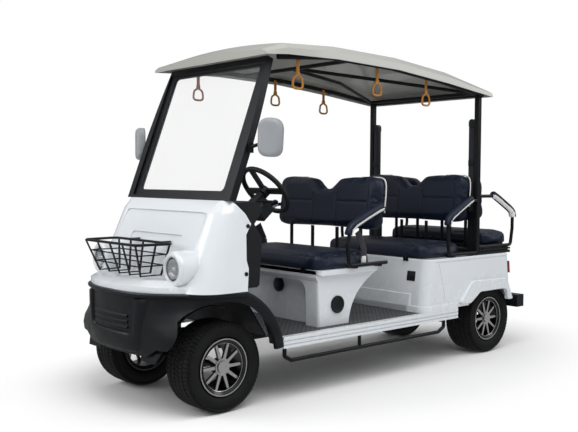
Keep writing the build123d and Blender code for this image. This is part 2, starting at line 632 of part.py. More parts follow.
# Strap handles hung from the side rails
STRAPS = [(623, 1800), (3, 1808), (-440, 1778)]
with BuildPart() as strap_handles:
    for strap_x, rail_z in STRAPS:
        for s in SIDES.values():
            handle_y = s * (RAIL_Y - ROOF_TUBE_R - 2 - GAP)
            ring_z = rail_z - 118
            block((strap_x - 11, strap_x + 11), (handle_y - 2, handle_y + 2), (ring_z + 24, rail_z + 12))
            with BuildSketch(Plane.XZ.offset(-handle_y - 6)):
                with Locations((strap_x, ring_z)):
                    Trapezoid(82, 62, 68)
                    Trapezoid(58, 38, 68, mode=Mode.SUBTRACT)
            extrude(amount=12)
finish(strap_handles, "strap_handles")

# Front seat base: hollow moulding with a rolled top flange and a recessed front
with BuildPart() as front_seat_base:
    profile = [(420, FLOOR_TOP), (424, 600), (440, 622), (440, SEAT_BASE_TOP), (-40, SEAT_BASE_TOP), (-40, 625)]
    with BuildSketch(Plane.XZ.offset(-412)):
        with BuildLine():
            Polyline(*profile)
            ThreePointArc((-40, 625), (132, 500), (180, FLOOR_TOP))
            Line((180, FLOOR_TOP), (420, FLOOR_TOP))
        make_face()
    extrude(amount=824)
    block((-40, 440), (-436, 436), (628, SEAT_BASE_TOP))
    block((366, 430), (-220, 220), (FLOOR_TOP - 1, 590), mode=Mode.SUBTRACT)
    with BuildSketch(Plane.XZ.offset(-404)):
        with BuildLine():
            Polyline((357, FLOOR_TOP - 1), (357, 700), (-20, 700), (-20, 636))
            ThreePointArc((-20, 636), (146, 506), (190, FLOOR_TOP - 1))
            Line((190, FLOOR_TOP - 1), (357, FLOOR_TOP - 1))
        make_face()
    extrude(amount=808, mode=Mode.SUBTRACT)
finish(front_seat_base, "front_seat_base")

# Battery block inside the seat base
with BuildPart() as battery_block:
    block((200, 352), (-330, 330), (FLOOR_TOP, 590))
finish(battery_block, "battery_block")

# Rear body: hollow moulding with a stepped riser, wheel arches and raised flares
with BuildPart() as rear_body:
    outline = [(BODY_FRONT, FLOOR_TOP), (RISER_X, 645), (RISER_X, REAR_BODY_TOP), (-1315, REAR_BODY_TOP), (BODY_REAR, 352)]
    side_plate(outline + [(-735, 352), (-735, FLOOR_TOP)], (-BODY_HALF_W, BODY_HALF_W))
    flare = [(-740, 372), (-877, 513), (-1266, 505), (-1345, 352), (-1290, 352), (-1269, 432), (-967, 432), (-862, 366)]
    for s in SIDES.values():
        side_plate(flare, (s * (BODY_HALF_W - 1), s * FLARE_OUT))
    cavity = [(BODY_FRONT - 9, 300), (-453, REAR_BODY_TOP - WALL), (-1308, REAR_BODY_TOP - WALL), (BODY_REAR + 9, 300)]
    side_plate(cavity, (-BODY_HALF_W + WALL, BODY_HALF_W - WALL), mode=Mode.SUBTRACT)
    arch = [(-862, 300), (-862, 366), (-967, 432), (-1269, 432), (-1290, 352), (-1290, 300)]
    side_plate(arch, (-600, 600), mode=Mode.SUBTRACT)
    block((-850, -480), (-370, 370), (600, 700), mode=Mode.SUBTRACT)
finish(rear_body, "rear_body")

# Seat boards with hinge barrels, and the fixed hinge leaves on the bases
LIDS = {
    "front": dict(front_x=432, rear_x=8, low=SEAT_BASE_TOP + 2, axis_x=449, face_x=440),
    "middle": dict(front_x=-454, rear_x=-860, low=REAR_BODY_TOP + 2, axis_x=RISER_X + 8, face_x=RISER_X),
}
for name, lid in LIDS.items():
    axis_z = lid["low"] + 6
    with BuildPart() as board:
        block((lid["rear_x"], lid["front_x"]), (-BOARD_HALF_W, BOARD_HALF_W), (lid["low"], lid["low"] + BOARD_T))
        for s in SIDES.values():
            barrel_y = (s * HINGE_Y - 10, s * HINGE_Y + 10)
            rod((lid["axis_x"], barrel_y[0], axis_z), (lid["axis_x"], barrel_y[1], axis_z), HINGE_BARREL_R)
            block((lid["front_x"] - 2, lid["axis_x"]), barrel_y, (axis_z - 2, axis_z + HINGE_BARREL_R))
            ends = (s * HINGE_Y - 15, s * HINGE_Y + 15)
            start = (lid["axis_x"], ends[0], axis_z)
            rod(start, (lid["axis_x"], ends[1], axis_z), HINGE_PIN_R + RUNNING_FIT, mode=Mode.SUBTRACT)
    finish(board, f"{name}_seat_board")

with BuildPart() as seat_hinges:
    for lid in LIDS.values():
        axis_z = lid["low"] + 6
        for s in SIDES.values():
            start = (lid["axis_x"], s * HINGE_Y - 17, axis_z)
            rod(start, (lid["axis_x"], s * HINGE_Y + 17, axis_z), HINGE_PIN_R)
            for flank in (-1, 1):
                ear_y = (s * HINGE_Y + flank * 10.5, s * HINGE_Y + flank * 15.5)
                low_y = (s * HINGE_Y - 15.5, s * HINGE_Y + 15.5)
                block((lid["face_x"] + GAP, lid["axis_x"] + 6), ear_y, (axis_z - 26, axis_z + 6))
            block((lid["face_x"] + GAP, lid["face_x"] + 4), low_y, (axis_z - 26, axis_z - 8))
finish(seat_hinges, "seat_hinges")

# Cushions: rounded slabs on the boards
CUSHIONS = {
    "front": dict(front_x=434, rear_x=0, low=SEAT_BASE_TOP + 2 + BOARD_T + GAP, high=748),
    "middle": dict(front_x=-450, rear_x=-866, low=REAR_BODY_TOP + 2 + BOARD_T + GAP, high=744),
    "rear": dict(front_x=-1108, rear_x=-1395, low=735 + GAP, high=812),
}
for name, seat in CUSHIONS.items():
    with BuildPart() as cushion:
        with BuildSketch(Plane.XY.offset(seat["low"])):
            with Locations(((seat["front_x"] + seat["rear_x"]) / 2, 0)):
                RectangleRounded(seat["front_x"] - seat["rear_x"], 2 * CUSHION_HALF_W, 50)
        extrude(amount=seat["high"] - seat["low"])
        fillet(cushion.faces().sort_by(Axis.Z)[-1].edges(), 24)
    finish(cushion, f"{name}_cushion")

# Seat backs: padded slabs with a notch between the two places
BACKS = {
    "front": dict(x=2, low=880, high=1190, lean=6, facing=1),
    "middle": dict(x=-826, low=895, high=1200, lean=6, facing=1),
    "rear": dict(x=-1098, low=900, high=1190, lean=4, facing=-1),
}
for name, seat in BACKS.items():
    normal = Vector(seat["facing"], 0, 0).rotate(Axis.Y, -seat["facing"] * seat["lean"])
    back_plane = Plane(origin=(seat["x"], 0, seat["low"]), x_dir=(0, seat["facing"], 0), z_dir=normal)
    height = seat["high"] - seat["low"]
    with BuildPart() as seat_back:
        with BuildSketch(back_plane.offset(-BACK_T)):
            with Locations((0, height / 2)):
                RectangleRounded(2 * BACK_HALF_W, height, 60)
            with Locations((0, height)):
                Trapezoid(210, 96, 115, rotation=180, mode=Mode.SUBTRACT)
        extrude(amount=BACK_T)
    finish(seat_back, f"{name}_seat_back")
    seat["under"] = Plane(origin=back_plane.origin - back_plane.y_dir * GAP, z_dir=back_plane.y_dir)

# Supports between the seats and their backs, trimmed to the undersides of the backs
SUPPORTS = {"front": (-22, SEAT_BASE_TOP), "middle": (-886, REAR_BODY_TOP), "rear": (-1060, 708)}
with BuildPart() as seat_supports:
    for name, (support_x, foot_z) in SUPPORTS.items():
        for support_y in (-310, -110, 110, 310):
            rod((support_x, support_y, foot_z), (support_x, support_y, 910), 11)
        with BuildSketch(BACKS[name]["under"]):
            Rectangle(400, 1000)
        extrude(amount=60, mode=Mode.SUBTRACT)
finish(seat_supports, "seat_supports")

# Rear tray under the rear-facing cushion, with the pad board on it
with BuildPart() as rear_tray:
    block((-1342, -985), (-480, 480), (REAR_BODY_TOP, 690))
    block((-1330, -1000), (-470, 470), (690, 697))
    block((-1342, -990), (-480, 480), (697, 708))
    block((-1370, -1100), (-400, 400), (708, 735))
finish(rear_tray, "rear_tray")

# Arm rails: bent tubes on both ends of each seat, with their pads
ARMS = {
    "front": [(-72, 684), (240, 682), (257, 800), (232, 884), (-30, 996), (-60, 1000)],
    "middle": [(POST_X + 16, 690), (-668, 690), (-655, 800), (-655, 903), (-900, 1034), (POST_X + 16, 1034)],
    "rear": [(POST_X - 16, 724), (-1352, 724), (-1372, 840), (-1372, 938), (-1130, 1062), (POST_X - 16, 1062)],
}
ARM_FEET = {"front": (SEAT_BASE_TOP, (-12, 190)), "middle": (REAR_BODY_TOP, (-900, -710)), "rear": (708, (-1040, -1300))}
with BuildPart() as arm_rails:
    for name, path in ARMS.items():
        seat_z, foot_xs = ARM_FEET[name]
        for s in SIDES.values():
            tube([(x, s * ARM_Y, z) for x, z in path], ARM_R, 24)
            for foot_x in foot_xs:
                block((foot_x - 14, foot_x + 14), (s * 418, s * (ARM_Y + 8)), (seat_z, path[0][1] - ARM_R + 2))
    for s in SIDES.values():
        block((-70, -46), (s * (BACK_HALF_W + GAP), s * ARM_Y), (990, 1010))
finish(arm_rails, "arm_rails")
with BuildPart() as arm_pads:
    for path in ARMS.values():
        start = Vector(path[3][0], path[3][1])
        run = Vector(path[4][0], path[4][1]) - start
        along = run.normalized()
        up = Vector(-along.Y, along.X) if along.X > 0 else Vector(along.Y, -along.X)
        for s in SIDES.values():
            low = start + along * 24 + up * (ARM_R + GAP)
            high = start + along * (run.length - 24) + up * (ARM_R + GAP)
            corners = [low, high, high + up * 34, low + up * 34]
            side_plate([(c.X, c.Y) for c in corners], (s * ARM_Y - PAD_HALF_W, s * ARM_Y + PAD_HALF_W))
finish(arm_pads, "arm_pads")

# Rear bumper on two brackets from the frame
with BuildPart() as rear_bumper:
    block((-HALF_LENGTH, -1425), (-490, 490), (283, 367))
    for s in SIDES.values():
        bracket_y = (s * MAIN_RAIL_Y - 19, s * MAIN_RAIL_Y + 19)
        block((-1426, -1400), bracket_y, (RAIL_LOW + 2, RAIL_LOW + 48))
finish(rear_bumper, "rear_bumper")

# Tail lamps on the rear face
with BuildPart() as tail_lamps:
    for s in SIDES.values():
        lamp_edge = [(-1315 - 35 * (REAR_BODY_TOP - z) / (REAR_BODY_TOP - 352), z) for z in (530, 610)]
        side_plate(lamp_edge + [(x - 26, z) for x, z in reversed(lamp_edge)], (s * 425, s * 472))
finish(tail_lamps, "tail_lamps")
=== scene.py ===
import math
from contextlib import contextmanager

import bmesh
import bpy
from mathutils import Matrix, Vector


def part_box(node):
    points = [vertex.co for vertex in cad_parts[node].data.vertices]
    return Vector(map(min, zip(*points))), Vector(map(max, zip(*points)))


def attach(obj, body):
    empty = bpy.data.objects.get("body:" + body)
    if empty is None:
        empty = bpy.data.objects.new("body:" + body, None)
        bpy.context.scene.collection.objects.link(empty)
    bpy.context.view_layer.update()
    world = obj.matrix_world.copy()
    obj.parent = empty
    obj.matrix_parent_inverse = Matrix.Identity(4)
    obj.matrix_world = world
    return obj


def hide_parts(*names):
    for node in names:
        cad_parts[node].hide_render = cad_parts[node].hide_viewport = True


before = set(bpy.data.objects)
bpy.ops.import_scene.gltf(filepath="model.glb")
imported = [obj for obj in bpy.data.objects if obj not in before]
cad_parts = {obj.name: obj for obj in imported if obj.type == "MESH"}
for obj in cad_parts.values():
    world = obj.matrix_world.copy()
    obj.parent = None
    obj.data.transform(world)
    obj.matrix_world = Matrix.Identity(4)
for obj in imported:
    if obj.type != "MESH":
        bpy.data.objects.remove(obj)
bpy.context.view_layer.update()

bl_info = {
    "name": "Shuttle Buggy",
    "version": (1, 0, 0),
    "blender": (4, 5, 0),
    "location": "View3D > Sidebar > Buggy",
    "description": "Finishes, soft trim, tyres, small fittings and stage for an open shuttle buggy",
    "category": "Object",
}

# Places that several pieces share, in metres
AXLE_X = {"front": 1.100, "rear": -1.140}
SIDES = {"left": 1, "right": -1}
WHEEL_Y = 0.360
HUB_Z = 0.2295
LAMP = (1.352, 0.358, 0.731)
LAMP_R = 0.052
MIRROR = (0.941, 0.605, 1.375)
MIRROR_TURN = math.radians(27.0)
ARM_Y = 0.473
BASE_SIDE_Y = 0.412


# Properties that a user would change
class BuggyFinishes(bpy.types.PropertyGroup):
    """Colours of the painted, moulded and sewn surfaces"""

    def colour(label, note, value):
        return bpy.props.FloatVectorProperty(name=label, description=note, default=value, subtype="COLOR",
                                             size=3, min=0.0, max=1.0)

    body: colour("Body", "White gloss of the moulded body panels", (0.70, 0.735, 0.77))
    plastic: colour("Plastic", "Black of the bumper, fenders and dash", (0.0042, 0.0054, 0.0072))
    steel: colour("Steel", "Black of the painted tubes and frame", (0.0038, 0.0046, 0.0056))
    roof: colour("Roof", "Warm grey of the roof moulding", (0.37, 0.37, 0.345))
    floor: colour("Floor", "Grey of the treaded floor", (0.075, 0.078, 0.083))
    vinyl: colour("Vinyl", "Navy of the seat covers", (0.0030, 0.0074, 0.0205))
    piping: colour("Piping", "White of the piping and arm pads", (0.76, 0.76, 0.75))
    handle: colour("Handle", "Amber of the hanging handles", (0.52, 0.205, 0.012))
    shell: colour("Mirror shell", "Grey of the mirror shells", (0.235, 0.245, 0.26))
    alloy: colour("Alloy", "Bright machined metal of the wheels", (0.80, 0.80, 0.81))


class BuggySizes(bpy.types.PropertyGroup):
    """Sizes of the soft trim, the tread and the small fittings"""

    def length(label, note, value):
        return bpy.props.FloatProperty(name=label, description=note, default=value, unit="LENGTH", min=0.0)

    voxel: length("Cushion mesh", "Mesh size of the padded pieces before they are filled", 0.0085)
    swell: length("Cushion swell", "Furthest that the filling moves a cover", 0.014)
    seam_depth: length("Seam depth", "Depth of a sewn line", 0.0045)
    seam_width: length("Seam width", "Half the width of a sewn line", 0.0065)
    tread_depth: length("Tread depth", "Height of the tread blocks", 0.0068)
    tread_gap: length("Tread gap", "Half the gap between two tread blocks", 0.0016)
    piping: length("Piping", "Radius of the piping on the seat backs", 0.0042)
    webbing: length("Webbing", "Width of the belt webbing", 0.046)
    pitches: bpy.props.IntProperty(name="Tread pitches", description="Tread blocks round a tyre", default=66, min=12)


class BuggyStage(bpy.types.PropertyGroup):
    """Light, floor and camera"""

    key: bpy.props.FloatProperty(name="Key", description="Power of the large overhead lamp", default=142.0, min=0.0,
                                 unit="POWER")
    side: bpy.props.FloatProperty(name="Side", description="Power of the lamp beside the camera", default=56.0,
                                  min=0.0, unit="POWER")
    sky: bpy.props.FloatProperty(name="Sky", description="Strength of the even light all round", default=0.50, min=0.0)
    lens: bpy.props.FloatProperty(name="Lens", description="Focal length of the camera", default=50.744, min=1.0,
                                  unit="CAMERA")
    eye: bpy.props.FloatVectorProperty(name="Eye", description="Place of the camera", size=3, unit="LENGTH",
                                       default=(3.5296, 3.6722, 1.1747))
    turn: bpy.props.FloatVectorProperty(name="Turn", description="Heading, pitch and roll of the camera", size=3,
                                        subtype="EULER",
                                        default=tuple(math.radians(a) for a in (228.471, -2.659, 0.307)))


def finishes():
    return bpy.context.scene.buggy_finishes


def sizes():
    return bpy.context.scene.buggy_sizes


# Shader graphs
def connect(tree, slot, value):
    if isinstance(value, Wire):
        tree.links.new(value.socket, slot)
    elif isinstance(value, (tuple, list)) and len(value) == 3 and slot.type == "RGBA":
        slot.default_value = (*value, 1.0)
    else:
        slot.default_value = value


class Wire:
    """A shader socket that takes part in ordinary arithmetic."""

    def __init__(self, tree, socket):
        self.tree = tree
        self.socket = socket

    def math(self, operation, *values):
        node = self.tree.nodes.new("ShaderNodeMath")
        node.operation = operation
        for slot, value in zip(node.inputs, values):
            connect(self.tree, slot, value)
        return Wire(self.tree, node.outputs[0])

    def __add__(self, other):
        return self.math("ADD", self, other)

    def __radd__(self, other):
        return self.math("ADD", other, self)

    def __sub__(self, other):
        return self.math("SUBTRACT", self, other)

    def __rsub__(self, other):
        return self.math("SUBTRACT", other, self)

    def __mul__(self, other):
        return self.math("MULTIPLY", self, other)

    def __rmul__(self, other):
        return self.math("MULTIPLY", other, self)

    def __truediv__(self, other):
        return self.math("DIVIDE", self, other)

    def __pow__(self, other):
        return self.math("POWER", self, other)

    def __lt__(self, other):
        return self.math("LESS_THAN", self, other)

    def __gt__(self, other):
        return self.math("GREATER_THAN", self, other)

    def __abs__(self):
        return self.math("ABSOLUTE", self)

    def wave(self):
        return self.math("SINE", self)

    def part(self):
        return self.math("FRACT", self)

    def whole(self):
        return self.math("FLOOR", self)

    def root(self):
        return self.math("SQRT", self)


class Finish:
    """A procedural material and the nodes that feed its shader."""

    def __init__(self, name, constants):
        self.material = bpy.data.materials.new(name)
        self.material.use_nodes = True
        self.tree = self.material.node_tree
        self.shader = self.tree.nodes["Principled BSDF"]
        for socket, value in constants.items():
            connect(self.tree, self.shader.inputs[socket], value)

    def add(self, kind, settings, values, output=0):
        node = self.tree.nodes.new(kind)
        for name, value in settings.items():
            setattr(node, name, value)
        for slot, value in values.items():
            connect(self.tree, node.inputs[slot], value)
        return Wire(self.tree, node.outputs[output])

    def place(self):
        return self.add("ShaderNodeTexCoord", {}, {}, "Object")

    def normal(self):
        return self.add("ShaderNodeTexCoord", {}, {}, "Normal")

    def axes(self, vector):
        node = self.tree.nodes.new("ShaderNodeSeparateXYZ")
        connect(self.tree, node.inputs[0], vector)
        return [Wire(self.tree, socket) for socket in node.outputs]

    def vector(self, x, y, z):
        return self.add("ShaderNodeCombineXYZ", {}, {"X": x, "Y": y, "Z": z})

    def noise(self, scale, detail=2.0, at=None):
        spot = at or self.place()
        return self.add("ShaderNodeTexNoise", {}, {"Vector": spot, "Scale": scale, "Detail": detail})

    def cells(self, scale):
        return self.add("ShaderNodeTexVoronoi", {"feature": "F1"}, {"Vector": self.place(), "Scale": scale})

    def between(self, value, low, high):
        kind = {"interpolation_type": "SMOOTHSTEP", "clamp": True}
        return self.add("ShaderNodeMapRange", kind, {"Value": value, "From Min": low, "From Max": high})

    def mix(self, mask, first, second):
        return self.add("ShaderNodeMix", {"data_type": "RGBA"}, {0: mask, 6: first, 7: second}, 2)

    def feed(self, socket, value):
        connect(self.tree, self.shader.inputs[socket], value)

    def bump(self, height, distance, strength=1.0):
        values = {"Height": height, "Distance": distance, "Strength": strength}
        self.feed("Normal", self.add("ShaderNodeBump", {}, values))


def shade(colour, factor):
    return tuple(min(1.0, c * factor) for c in colour)


# Materials, each for one of the buggy's own finishes
def body_gelcoat(name, colour, roughness):
    made = Finish(name, {"Coat Weight": 0.55, "Coat Roughness": 0.06, "Specular IOR Level": 0.45})
    x, y, z = made.axes(made.place())
    cloud = made.noise(2.6, 3.0)
    dust = made.between(z, 0.60, 0.27) * made.between(made.noise(14.0, 4.0), 0.42, 0.72)
    clean = made.mix(cloud, colour, shade(colour, 0.965))
    made.feed("Base Color", made.mix(dust * 0.07, clean, (0.46, 0.44, 0.40)))
    made.feed("Roughness", roughness + 0.10 * cloud + 0.25 * dust)
    made.bump(made.noise(240.0, 1.0), 0.00012)
    return made.material


def moulded_plastic(name, colour, roughness, grain):
    made = Finish(name, {"Specular IOR Level": 0.34})
    x, y, z = made.axes(made.place())
    cloud = made.noise(5.0, 4.0)
    dust = made.between(z, 0.75, 0.28) * made.between(made.noise(20.0, 5.0), 0.45, 0.75)
    worn = made.mix(cloud, colour, shade(colour, 1.5))
    made.feed("Base Color", made.mix(dust * 0.025, worn, (0.12, 0.115, 0.105)))
    made.feed("Roughness", roughness + 0.14 * cloud + 0.15 * dust)
    made.bump(made.cells(grain) + 0.5 * made.noise(grain * 0.4, 2.0), 0.00022)
    return made.material


def powder_coat(name, colour):
    made = Finish(name, {"Specular IOR Level": 0.24})
    cloud = made.noise(9.0, 3.0)
    chips = made.between(made.noise(65.0, 4.0), 0.70, 0.76)
    paint = made.mix(cloud, colour, shade(colour, 1.7))
    made.feed("Base Color", made.mix(chips * 0.35, paint, (0.07, 0.068, 0.065)))
    made.feed("Roughness", 0.30 + 0.16 * cloud + 0.2 * chips)
    made.bump(made.noise(480.0, 1.0), 0.00010)
    return made.material


def floor_rubber(name, colour):
    made = Finish(name, {"Specular IOR Level": 0.3})
    x, y, z = made.axes(made.place())
    pitch = 0.034
    u = (x + y) / pitch
    v = (x - y) / pitch
    turn = (u.whole() + v.whole()) * 0.5
    odd = (turn.part() > 0.25)
    across = (u.part() - 0.5) * odd + (v.part() - 0.5) * (1 - odd)
    along = (v.part() - 0.5) * odd + (u.part() - 0.5) * (1 - odd)
    bar = 1 - ((across * 5.6) ** 2 + (along * 2.35) ** 2)
    raised = made.between(bar, 0.0, 0.45)
    cloud = made.noise(6.0, 5.0)
    grime = made.between(made.noise(22.0, 4.0), 0.35, 0.75)
    # Painted light: the raised bars are painted lighter as a painted highlight, and the grooves between them darker as
    # painted shade.
    base = made.mix(raised, shade(colour, 0.62), shade(colour, 1.35))
    made.feed("Base Color", made.mix(grime * 0.30, base, shade(colour, 0.55)))
    made.feed("Roughness", 0.48 + 0.22 * cloud - 0.12 * raised)
    made.bump(raised + 0.06 * made.noise(420.0, 1.0), 0.0016)
    return made.material


def seat_vinyl(name, colour):
    made = Finish(name, {"Specular IOR Level": 0.32})
    cloud = made.noise(7.0, 4.0)
    creases = made.cells(260.0)
    pores = made.noise(700.0, 2.0)
    made.feed("Base Color", made.mix(cloud, shade(colour, 0.8), shade(colour, 1.55)))
    made.feed("Roughness", 0.36 + 0.16 * cloud + 0.06 * pores)
    made.bump(creases * 0.8 + pores * 0.35, 0.00030)
    return made.material


def piping_vinyl(name, colour):
    made = Finish(name, {"Specular IOR Level": 0.4})
    cloud = made.noise(30.0, 3.0)
    made.feed("Base Color", made.mix(cloud, colour, shade(colour, 0.86)))
    made.feed("Roughness", 0.40 + 0.15 * cloud)
    made.bump(made.cells(320.0), 0.00022)
    return made.material


def clear_screen(name):
    made = Finish(name, {"Roughness": 0.03, "Specular IOR Level": 0.5, "Coat Weight": 0.0})
    haze = made.noise(1.7, 3.0)
    made.feed("Base Color", made.mix(haze, (0.50, 0.51, 0.52), (0.42, 0.43, 0.44)))
    made.feed("Alpha", 0.075 + 0.035 * haze)
    return made.material


def lamp_glass(name):
    made = Finish(name, {"Roughness": 0.02, "Specular IOR Level": 0.6, "Coat Weight": 0.4})
    x, y, z = made.axes(made.place())
    flutes = (y * 620.0).wave() * 0.5 + 0.5
    made.feed("Base Color", made.mix(flutes, (0.72, 0.75, 0.78), (0.86, 0.88, 0.90)))
    made.feed("Alpha", 0.10 + 0.08 * flutes)
    made.bump(flutes, 0.0006)
    return made.material


def bright_metal(name, colour, roughness):
    made = Finish(name, {"Metallic": 1.0})
    x, y, z = made.axes(made.place())
    brushed = made.noise(90.0, 3.0, made.vector(x * 0.15, y * 3.0, z * 3.0))
    made.feed("Base Color", made.mix(brushed, colour, shade(colour, 0.8)))
    made.feed("Roughness", roughness + 0.16 * brushed)
    return made.material


def wheel_radius(x, z):
    """Distance from the nearer axle, for finishes that run round a wheel."""
    ahead = x > 0.0
    dx = x - (AXLE_X["front"] * ahead + AXLE_X["rear"] * (1 - ahead))
    dz = z - HUB_Z
    return (dx * dx + dz * dz).root()


def wheel_alloy(name, colour):
    made = Finish(name, {"Specular IOR Level": 0.5, "Coat Weight": 0.15})
    x, y, z = made.axes(made.place())
    nx, ny, nz = made.axes(made.normal())
    radius = wheel_radius(x, z)
    face = (abs(ny) > 0.55) * (abs(y) > WHEEL_Y + 0.055)
    spokes = face * (radius < 0.1215)
    lip = (radius > 0.1392) * (abs(y) > WHEEL_Y + 0.08)
    cut = spokes.math("MAXIMUM", spokes, lip)
    barrel = (radius > 0.116) * (abs(y) > WHEEL_Y - 0.01) * (1 - cut)
    rings = (radius * 5200.0).wave() * 0.5 + 0.5
    smut = made.between(made.noise(24.0, 4.0), 0.48, 0.80)
    bright = made.mix(rings * 0.35 + smut * 0.45, colour, shade(colour, 0.62))
    dark = made.mix(barrel, (0.010, 0.010, 0.011), (0.055, 0.056, 0.058))
    made.feed("Base Color", made.mix(cut, dark, bright))
    made.feed("Metallic", cut.math("MAXIMUM", cut, barrel) * 0.95)
    made.feed("Roughness", 0.34 - 0.12 * cut - 0.14 * barrel + 0.12 * smut)
    made.bump(rings * cut, 0.00004)
    return made.material


def tyre_rubber(name):
    made = Finish(name, {"Specular IOR Level": 0.20})
    x, y, z = made.axes(made.place())
    radius = wheel_radius(x, z)
    rings = (radius * 900.0).wave() * 0.5 + 0.5
    cloud = made.noise(16.0, 5.0)
    tread = made.between(radius, 0.218, 0.228)
    base = made.mix(cloud, (0.0050, 0.0056, 0.0064), (0.0105, 0.0110, 0.0118))
    made.feed("Base Color", made.mix(tread * 0.35 * cloud, base, (0.034, 0.033, 0.031)))
    made.feed("Roughness", 0.58 + 0.20 * cloud + 0.08 * tread)
    made.bump(rings * 0.5 * (1 - tread) + made.noise(500.0, 2.0) * 0.5, 0.00035)
    return made.material


def tinted_lens(name, colour, ridges):
    made = Finish(name, {"Specular IOR Level": 0.6, "Coat Weight": 0.5, "Coat Roughness": 0.04,
                         "Subsurface Weight": 0.15, "Subsurface Radius": (0.01, 0.004, 0.002)})
    x, y, z = made.axes(made.place())
    ribs = (z * ridges).wave() * 0.5 + 0.5
    cloud = made.noise(30.0, 3.0)
    made.feed("Base Color", made.mix(ribs * 0.5 + cloud * 0.3, colour, shade(colour, 0.55)))
    made.feed("Roughness", 0.14 + 0.12 * cloud)
    made.bump(ribs, 0.0005)
    return made.material


def handle_plastic(name, colour):
    made = Finish(name, {"Specular IOR Level": 0.5, "Coat Weight": 0.25})
    cloud = made.noise(40.0, 3.0)
    weave = made.noise(900.0, 1.0)
    made.feed("Base Color", made.mix(cloud, colour, shade(colour, 0.66)))
    made.feed("Roughness", 0.30 + 0.18 * cloud)
    made.bump(weave, 0.00015)
    return made.material


def cast_metal(name):
    made = Finish(name, {"Specular IOR Level": 0.4})
    cloud = made.noise(18.0, 5.0)
    made.feed("Base Color", made.mix(cloud, (0.022, 0.022, 0.023), (0.06, 0.058, 0.055)))
    made.feed("Metallic", 0.25 + 0.3 * cloud)
    made.feed("Roughness", 0.48 + 0.25 * cloud)
    made.bump(made.noise(160.0, 4.0), 0.0006)
    return made.material


def belt_webbing(name):
    made = Finish(name, {"Specular IOR Level": 0.25, "Sheen Weight": 0.2})
    x, y, z = made.axes(made.place())
    weave = ((z * 2100.0 + x * 900.0).wave() * (x * 2600.0).wave()) * 0.5 + 0.5
    made.feed("Base Color", made.mix(weave, (0.009, 0.009, 0.015), (0.024, 0.023, 0.034)))
    made.feed("Roughness", 0.62 + 0.2 * weave)
    made.bump(weave, 0.0004)
    return made.material


# Which node wears which finish
NODE_FINISH = {
    "body": ("front_cowl", "front_seat_base", "rear_body", "side_sills"),
    "plastic": ("front_bumper", "rear_bumper", "belt_columns"),
    "trim": ("dash_panel", "steering_column", "steering_wheel", "foot_pedals", "rear_tray", "front_seat_board",
             "middle_seat_board", "battery_block"),
    "steel": ("chassis_frame", "side_bars", "front_basket", "windscreen_frame", "mirror_arms", "roof_frame",
              "seat_supports", "seat_hinges", "arm_rails", "front_axle", "leaf_springs", "knuckle_left",
              "knuckle_right", "tie_rod"),
    "roof": ("roof_shell",),
    "floor": ("floor_plate",),
    "vinyl": ("front_cushion", "middle_cushion", "rear_cushion", "front_seat_back", "middle_seat_back",
              "rear_seat_back", "arm_pads"),
    "screen": ("windscreen_glass",),
    "lamp": ("headlamps",),
    "shell": ("mirror_shells",),
    "red": ("tail_lamps",),
    "handle": ("strap_handles",),
    "casting": ("rear_axle", "drive_motor"),
    "tyre": tuple(f"tyre_{axle}_{side}" for axle in AXLE_X for side in SIDES),
    "alloy": tuple(f"rim_{axle}_{side}" for axle in AXLE_X for side in SIDES),
}


def finish_named(name):
    return bpy.data.materials[f"buggy_{name}"]


class BUGGY_OT_finishes(bpy.types.Operator):
    """Make every finish and put it on the nodes of the frame"""

    bl_idname = "buggy.finishes"
    bl_label = "Paint the frame"

    def execute(self, context):
        tone = finishes()
        body_gelcoat("buggy_body", tuple(tone.body), 0.20)
        body_gelcoat("buggy_roof", tuple(tone.roof), 0.34)
        moulded_plastic("buggy_plastic", tuple(tone.plastic), 0.25, 900.0)
        moulded_plastic("buggy_trim", shade(tone.plastic, 1.25), 0.46, 1100.0)
        moulded_plastic("buggy_shell", tuple(tone.shell), 0.34, 1200.0)
        powder_coat("buggy_steel", tuple(tone.steel))
        floor_rubber("buggy_floor", tuple(tone.floor))
        seat_vinyl("buggy_vinyl", tuple(tone.vinyl))
        piping_vinyl("buggy_piping", tuple(tone.piping))
        clear_screen("buggy_screen")
        lamp_glass("buggy_lamp")
        bright_metal("buggy_reflector", (0.34, 0.35, 0.37), 0.10)
        bright_metal("buggy_chrome", (0.80, 0.81, 0.82), 0.06)
        wheel_alloy("buggy_alloy", tuple(tone.alloy))
        tyre_rubber("buggy_tyre")
        tinted_lens("buggy_red", (0.17, 0.004, 0.004), 900.0)
        handle_plastic("buggy_handle", tuple(tone.handle))
        cast_metal("buggy_casting")
        belt_webbing("buggy_webbing")
        for finish, nodes in NODE_FINISH.items():
            for node in nodes:
                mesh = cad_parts[node].data
                mesh.materials.clear()
                mesh.materials.append(finish_named(finish))
        return {"FINISHED"}


# Modelling moves shared by the pieces
def deselect():
    if bpy.context.mode != "OBJECT":
        bpy.ops.object.mode_set(mode="OBJECT")
    bpy.ops.object.select_all(action="DESELECT")


def take(piece):
    deselect()
    piece.select_set(True)
    bpy.context.view_layer.objects.active = piece
    return piece


@contextmanager
def shaping(piece, kind="FACE"):
    take(piece)
    bpy.ops.object.mode_set(mode="EDIT")
    bpy.ops.mesh.select_mode(type=kind)
    bpy.ops.mesh.select_all(action="DESELECT")
    yield piece
    bpy.ops.object.mode_set(mode="OBJECT")


def pick_faces(piece, test):
    mesh = bmesh.from_edit_mesh(piece.data)
    mesh.normal_update()
    for face in mesh.faces:
        face.select_set(bool(test(face.calc_center_median(), face.normal)))
    bmesh.update_edit_mesh(piece.data)


def named(name, finish):
    piece = bpy.context.active_object
    piece.name = name
    piece.data.name = name
    piece.data.materials.clear()
    piece.data.materials.append(finish_named(finish))
    return piece


